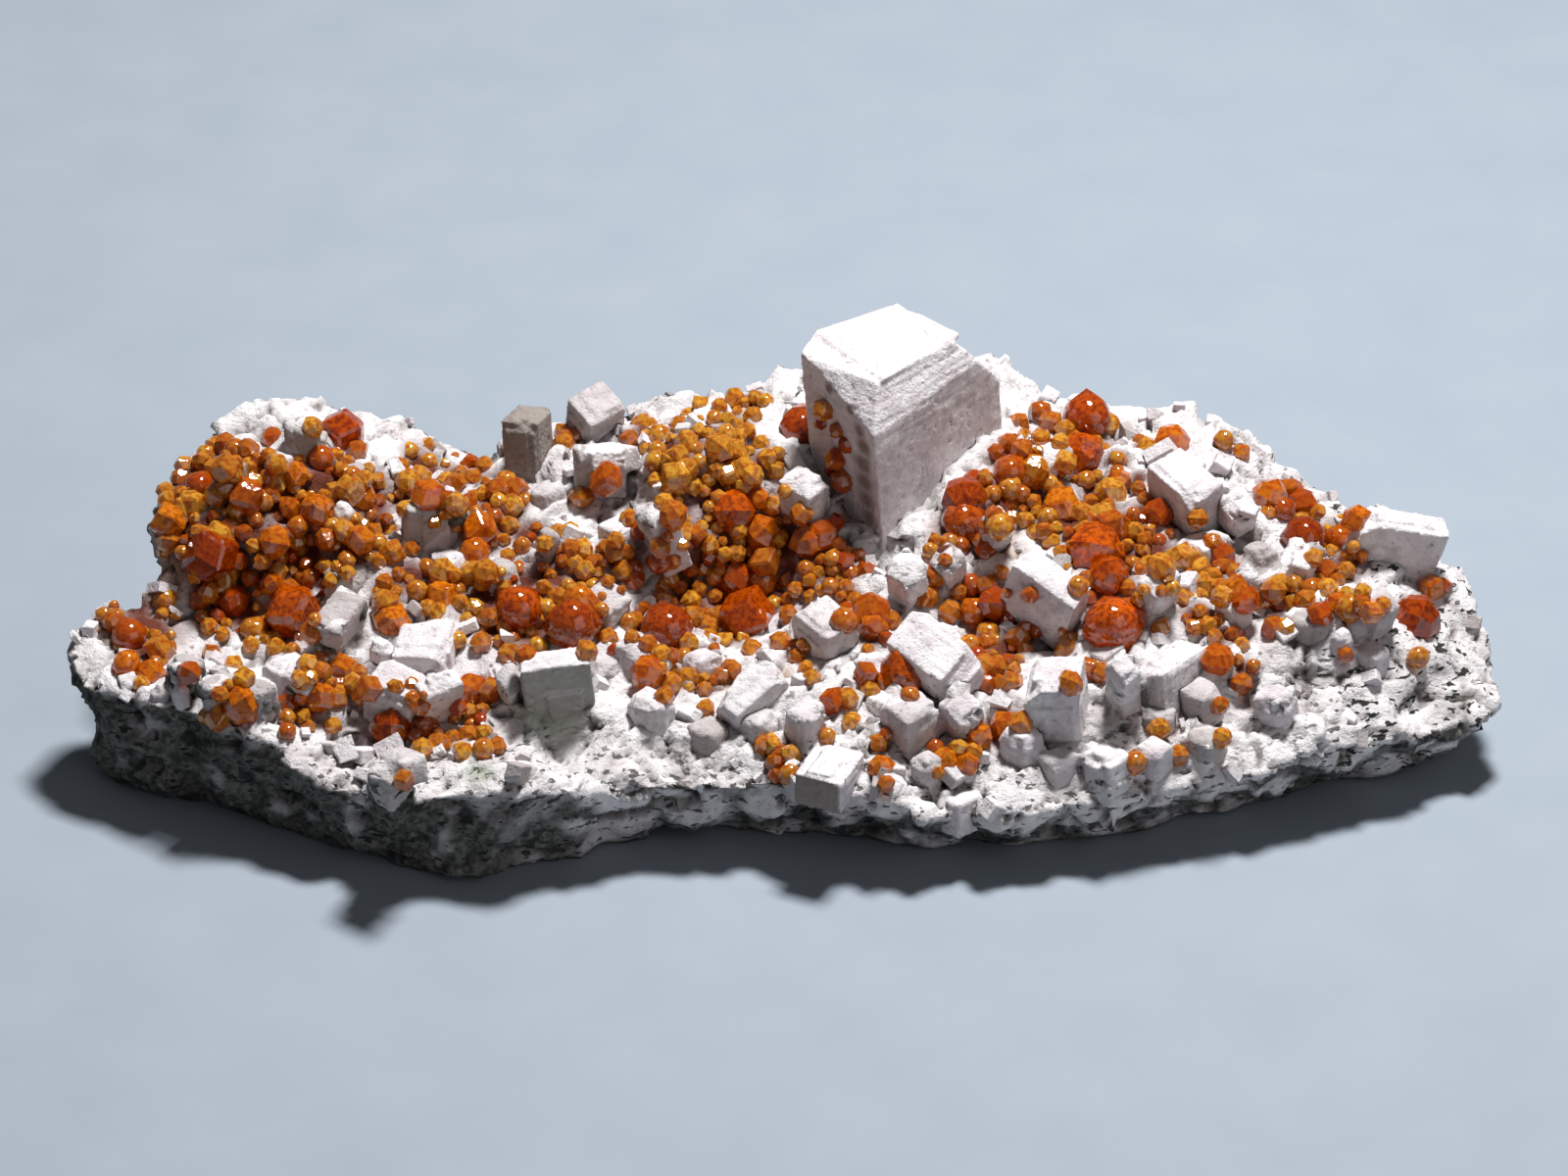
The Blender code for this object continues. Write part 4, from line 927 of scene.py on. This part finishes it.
def make_tall_block():
    """The tall upright crystal: its top slopes up to a ledge, and a plate with a rounded back lies on it."""
    corner = corner_of("feldspar_tall_block", *TALL_CORNER) - Vector((0, 0, TALL_LOWERED))
    mesh = bmesh.new()
    sides = [TALL_RIGHT, TALL_LEFT, Vector((0, 0, TALL_LEDGE - TALL_ROOT))]
    add_block(mesh, Vector((0, 0, TALL_ROOT)), sides)
    face_out(mesh)
    for point, facing in TALL_SLOPES:
        slice_off(mesh, point, facing.normalized())
    for across, away, distance in TALL_BACK:
        facing = Vector((across, away, 0)).normalized()
        slice_off(mesh, facing * distance, facing)
    plate = bmesh.new()
    sides = [TALL_RIGHT, TALL_LEFT, Vector((0, 0, 2 * (TALL_PLATE - TALL_LEDGE)))]
    add_block(plate, TALL_PLATE_CORNER + Vector((0, 0, 2 * TALL_LEDGE - TALL_PLATE)), sides)
    face_out(plate)
    for across, away, distance in TALL_PLATE_BACK:
        facing = Vector((across, away, 0)).normalized()
        slice_off(plate, facing * distance, facing)
    join(mesh, plate)
    for vertex in mesh.verts:
        vertex.co.x -= vertex.co.z * TALL_LEAN
    bmesh.ops.transform(mesh, matrix=Matrix.Translation(corner) @ Matrix.Scale(MM, 4), verts=mesh.verts)
    tall = new_piece("block_tall", mesh)
    voxel_remesh(tall, TALL_VOXEL)
    weather(tall, corner, [TALL_LEFT * MM, TALL_RIGHT * MM, Vector((0, 0, 20 * MM))], layers=0.1)
    keep_values(tall, "tint", near_places(points_of(tall.data), tree_of([tall]), DARK_STREAK) * 0.85)
    return tall


def make_small_blocks(rock, draw):
    """The smaller blocks that are one with the rock, as crisp crystals over its own."""
    mesh = bmesh.new()
    centres = []
    places = [
        (corner_of("matrix_slab", *corner), box_edges(*edges), DARK_BLOCKS.get(corner))
        for corner, *edges in SMALL_BLOCKS
    ]
    for x0, y0, x1, y1, share in MORE_BLOCKS:
        # The block's three edges, as shares of the box's width and height
        wide, tall = x1 - x0, y1 - y0
        sides = ((-share * wide, -0.28 * tall), ((1 - share) * wide, -0.3 * tall), (0.02 * wide, 0.42 * tall))
        column, row = x0 + share * wide, y1
        foot = land(rock, column, row)
        edges = box_edges(*sides)
        places.append((foot - edges[2] - view_ray(column, row) * MORE_LIFT, edges, None))
    for start, (first, second, third), known_tint in places:
        edges = [first, second, third + third.normalized() * BLOCK_ROOT * 0.5]
        join(mesh, block_shell(start, edges, draw))
        tint = draw.choice(SMALL_BLOCK_TINTS)
        centres.append((start, tint if known_tint is None else known_tint))
    blocks = new_piece("small_blocks", mesh)
    voxel_remesh(blocks, SMALL_BLOCK_VOXEL)
    weather(blocks, Vector(), [VIEW_UP, VIEW_AWAY, VIEW_RIGHT])
    points = points_of(blocks.data)
    gaps = np.array([np.linalg.norm(points - np.array(start), axis=1) for start, _ in centres])
    tints = np.array([tint for _, tint in centres])
    keep_values(blocks, "tint", tints[gaps.argmin(axis=0)])
    return blocks


def grain_shapes(draw):
    """Small blocky grains: boxes of a few proportions with worn edges and one corner gone."""
    shapes = []
    for sides in GRAIN_SIDES:
        mesh = bmesh.new()
        bmesh.ops.create_cube(mesh, size=1.0)
        bmesh.ops.scale(mesh, vec=sides, verts=mesh.verts)
        facing = Vector((draw.uniform(0.3, 1), draw.uniform(0.3, 1), draw.uniform(0.3, 1))).normalized()
        slice_off(mesh, facing * draw.uniform(0.42, 0.6), facing)
        bmesh.ops.bevel(
            mesh, geom=mesh.edges[:], offset=0.07, segments=1, profile=0.5, affect="EDGES", material=-1,
            clamp_overlap=True,
        )
        bmesh.ops.remove_doubles(mesh, verts=mesh.verts, dist=0.01)
        face_out(mesh)
        shapes.append(finished("grain", mesh))
    return shapes


def make_grains(rock, blocks, draw):
    """Feldspar grains strewn over the rock's top and back, each sunk into it, with none on the blocks."""
    low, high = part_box("matrix_slab")
    shapes = grain_shapes(draw)
    bare = []
    for column, row, radius in GARNET_PATCHES + BARE_PLACES:
        spot = land(rock, column, row)
        if spot is not None:
            bare.append((spot, radius * PIXEL))
    plants = []
    for _ in range(GRAIN_TRIES):
        x = draw.uniform(low.x, high.x)
        y = draw.uniform(low.y, high.y)
        size = draw.uniform(*GRAIN) * draw.uniform(0.5, 1.0) * MM
        turn = random_turn(draw)
        tint = draw.choice(GRAIN_TINTS)
        shape = draw.choice(shapes)
        place, normal, _, _ = rock.ray_cast(Vector((x, y, DROP_HEIGHT)), Vector((0, 0, -1)))
        if place is None or place.z < LEAST_HEIGHT or normal.z < LEAST_LEVEL:
            continue
        if blocks.ray_cast(place - normal * 0.5 * MM, Vector((0, 0, 1)))[0]:
            continue
        if any((place - spot).length < reach for spot, reach in bare):
            continue
        matrix = Matrix.Translation(place + normal * size * 0.02) @ turn @ Matrix.Scale(size, 4)
        plants.append((shape, matrix, tint))
    piece = strew("feldspar_grains", plants)
    for shape in shapes:
        bpy.data.meshes.remove(shape)
    return piece


# Garnets


def garnet_shape(dodecahedron, trapezohedron):
    """A garnet one wide, cut by the planes of its two forms. The numbers are how far out these lie."""
    mesh = bmesh.new()
    bmesh.ops.create_cube(mesh, size=2.0)
    signs = (-1, 1)
    rhombic = [Vector(n) for a in signs for b in signs for n in ((a, b, 0), (a, 0, b), (0, a, b))]
    rich = [
        Vector((a, b, c)) for a in (-2, -1, 1, 2) for b in (-2, -1, 1, 2) for c in (-2, -1, 1, 2)
        if abs(a * b * c) == 2
    ]
    for normals, reach in ((rhombic, dodecahedron), (rich, trapezohedron)):
        for normal in normals:
            slice_off(mesh, normal.normalized() * reach, normal.normalized())
    bmesh.ops.remove_doubles(mesh, verts=mesh.verts, dist=0.004)
    face_out(mesh)
    return finished("garnet", mesh)


def set_garnet(plants, shapes, tree, draw, column, row, width, lift):
    """Plants one garnet where the view ray lands, raised towards the eye by a share of its width. It is
    redder and darker where the rock around hides the sky, as painted shade."""
    ray = view_ray(column, row)
    place = land(tree, column, row)
    turn = random_turn(draw)
    squeeze = Matrix.Diagonal([draw.uniform(*SQUEEZE) for _ in range(3)] + [1])
    shape = draw.choice(shapes)
    tint = draw.uniform(0.0, 1.0)
    if place is None:
        return
    centre = place - ray * width * lift
    if math.hypot(column - GOLDEN_PLACE[0], row - GOLDEN_PLACE[1]) < GOLDEN_PLACE[2]:
        tint *= GOLDEN_SHARE
    # The rays start just clear of the garnet, on the side of the eye
    top = centre - ray * width * 0.6
    hidden = sum(tree.ray_cast(top, up, GARNET_REACH)[0] is not None for up in SKY_RAYS) / len(SKY_RAYS)
    # Painted shade: a garnet where the sky is hidden gets a richer, darker colour
    tint = tint * RICH_BY_CHANCE + RICH_BY_SHADE * hidden
    plants.append((shape, Matrix.Translation(centre) @ turn @ squeeze @ Matrix.Scale(width, 4), tint))


def make_garnets(tree, draw):
    """The garnets: large ones one by one, small ones one by one, and crusts that fill their patches."""
    shapes = [garnet_shape(*reaches) for reaches in GARNET_FORMS]
    shapes[ROUNDED_FORM].shade_smooth()
    deep, orange, honey = [], [], []
    taken = []
    for column, row, radius in LARGE_GARNETS:
        plants = deep if radius >= DEEP_FROM else orange
        set_garnet(plants, shapes, tree, draw, column, row, 2 * radius * PIXEL, LARGE_LIFT)
        taken.append((column, row, radius))
    for column, row in SMALL_GARNETS:
        set_garnet(honey, shapes, tree, draw, column, row, draw.uniform(*SMALL_GARNET) * MM, SMALL_LIFT)
        taken.append((column, row, SMALL_ROOM))
    for centre_column, centre_row, radius in GARNET_PATCHES:
        steps = int(radius / PATCH_SPACING) + 2
        for i in range(-steps, steps + 1):
            for k in range(-steps, steps + 1):
                column = centre_column + (i + 0.5 * (k % 2)) * PATCH_SPACING
                column += draw.uniform(-PATCH_STRAY, PATCH_STRAY)
                row = centre_row + k * PATCH_SPACING * PATCH_ROWS + draw.uniform(-PATCH_STRAY, PATCH_STRAY)
                width = draw.uniform(*PATCH_GARNET) * draw.choice(PATCH_SWELL) * MM
                lift = draw.uniform(*PATCH_LIFT)
                if math.hypot(column - centre_column, row - centre_row) > radius:
                    continue
                if noise.noise(Vector((column, row, 0.0)) / ISLAND_SPACING) > ISLAND_FROM:
                    continue
                if any(
                    math.hypot(column - x, row - y) < ROOM_SHARE * reach + ROOM_GAP for x, y, reach in taken
                ):
                    continue
                set_garnet(honey, shapes, tree, draw, column, row, width, lift)
                taken.append((column, row, SMALL_ROOM))
    garnets = [strew("garnets_deep", deep), strew("garnets_orange", orange), strew("garnets_honey", honey)]
    for shape in shapes:
        bpy.data.meshes.remove(shape)
    return garnets


# The studio


def make_camera():
    """The photograph's view, with a lens that frames it at this distance."""
    camera = bpy.data.objects.new("camera", bpy.data.cameras.new("camera"))
    camera.data.sensor_width = SENSOR_WIDTH
    camera.data.lens = SENSOR_WIDTH * VIEW_DISTANCE / (PHOTO_WIDTH * PIXEL)
    camera.data.clip_start = 0.01
    camera.location = EYE
    camera.rotation_mode = "QUATERNION"
    camera.rotation_quaternion = VIEW_AWAY.to_track_quat("-Z", "Y")
    bpy.context.scene.collection.objects.link(camera)
    bpy.context.scene.camera = camera


def make_light(name, place, aim, size, power):
    """A soft lamp."""
    data = bpy.data.lights.new(name, "AREA")
    data.shape = "RECTANGLE"
    data.size, data.size_y = size[0] * MM, size[1] * MM
    data.energy = power
    light = bpy.data.objects.new(name, data)
    light.location = Vector(place) * MM
    light.rotation_mode = "QUATERNION"
    light.rotation_quaternion = (Vector(aim) - Vector(place)).to_track_quat("-Z", "Y")
    bpy.context.scene.collection.objects.link(light)


def make_studio():
    """A plain pale floor, a strong soft light over the back, and a weak, wide one from the right."""
    mesh = bmesh.new()
    bmesh.ops.create_grid(mesh, x_segments=1, y_segments=1, size=FLOOR_REACH)
    floor = new_piece("floor", mesh)
    floor.data.materials.append(matt_floor())
    for name, lamp in LAMPS.items():
        make_light(name, *lamp)
    world = bpy.data.worlds.new("room")
    world.use_nodes = True
    world.node_tree.nodes.clear()
    light = {"Color": linear("#E6E9EE"), "Strength": ROOM_GLOW}
    glow = add(world.node_tree, "ShaderNodeBackground", light)
    add(world.node_tree, "ShaderNodeOutputWorld", {"Surface": (glow, 0)})
    bpy.context.scene.world = world
    # The default transform dulls the garnets' orange and the feldspar's white
    bpy.context.scene.view_settings.view_transform = "Standard"


def main():
    """Makes the studio, then every piece in the order that the random draws need."""
    noise.seed_set(NOISE_SEED)
    draw = random.Random(DRAW_SEED)
    make_camera()
    make_studio()
    feldspar = chalky_feldspar()
    nodes = frame["nodes"]

    rock = make_rock()
    dress(rock, broken_rock(), "rock", "matrix_slab")
    tall = make_tall_block()
    dress(tall, feldspar, "feldspar", "feldspar_tall_block")
    blocks = make_blocks(draw)
    for block, node in blocks:
        dress(block, feldspar, "feldspar", node)
    small = make_small_blocks(tree_of([rock]), draw)
    dress(small, feldspar, "feldspar")
    crystals = [tall, small] + [block for block, _ in blocks]
    grains = make_grains(tree_of([rock]), tree_of(crystals), draw)
    dress(grains, feldspar, "feldspar")

    shade = tree_of([rock, grains] + crystals)
    # Painted shade, kept where what stands near hides the sky
    for solid in [rock] + crystals:
        paint_crevice_shade(solid, shade)

    garnets = make_garnets(tree_of([rock] + crystals), draw)
    crusts = [name for name in nodes if name.startswith("garnet_crust_")]
    singles = [name for name in nodes if name.startswith("garnet_") and name not in crusts]
    # The single garnets of the solids are large and deep, and their crusts are of small honey ones
    for piece, look, solids in zip(garnets, GARNET_LOOKS, (singles, [], crusts)):
        dress(piece, spessartine(look, *GARNET_LOOKS[look]), "spessartine", *solids)


main()
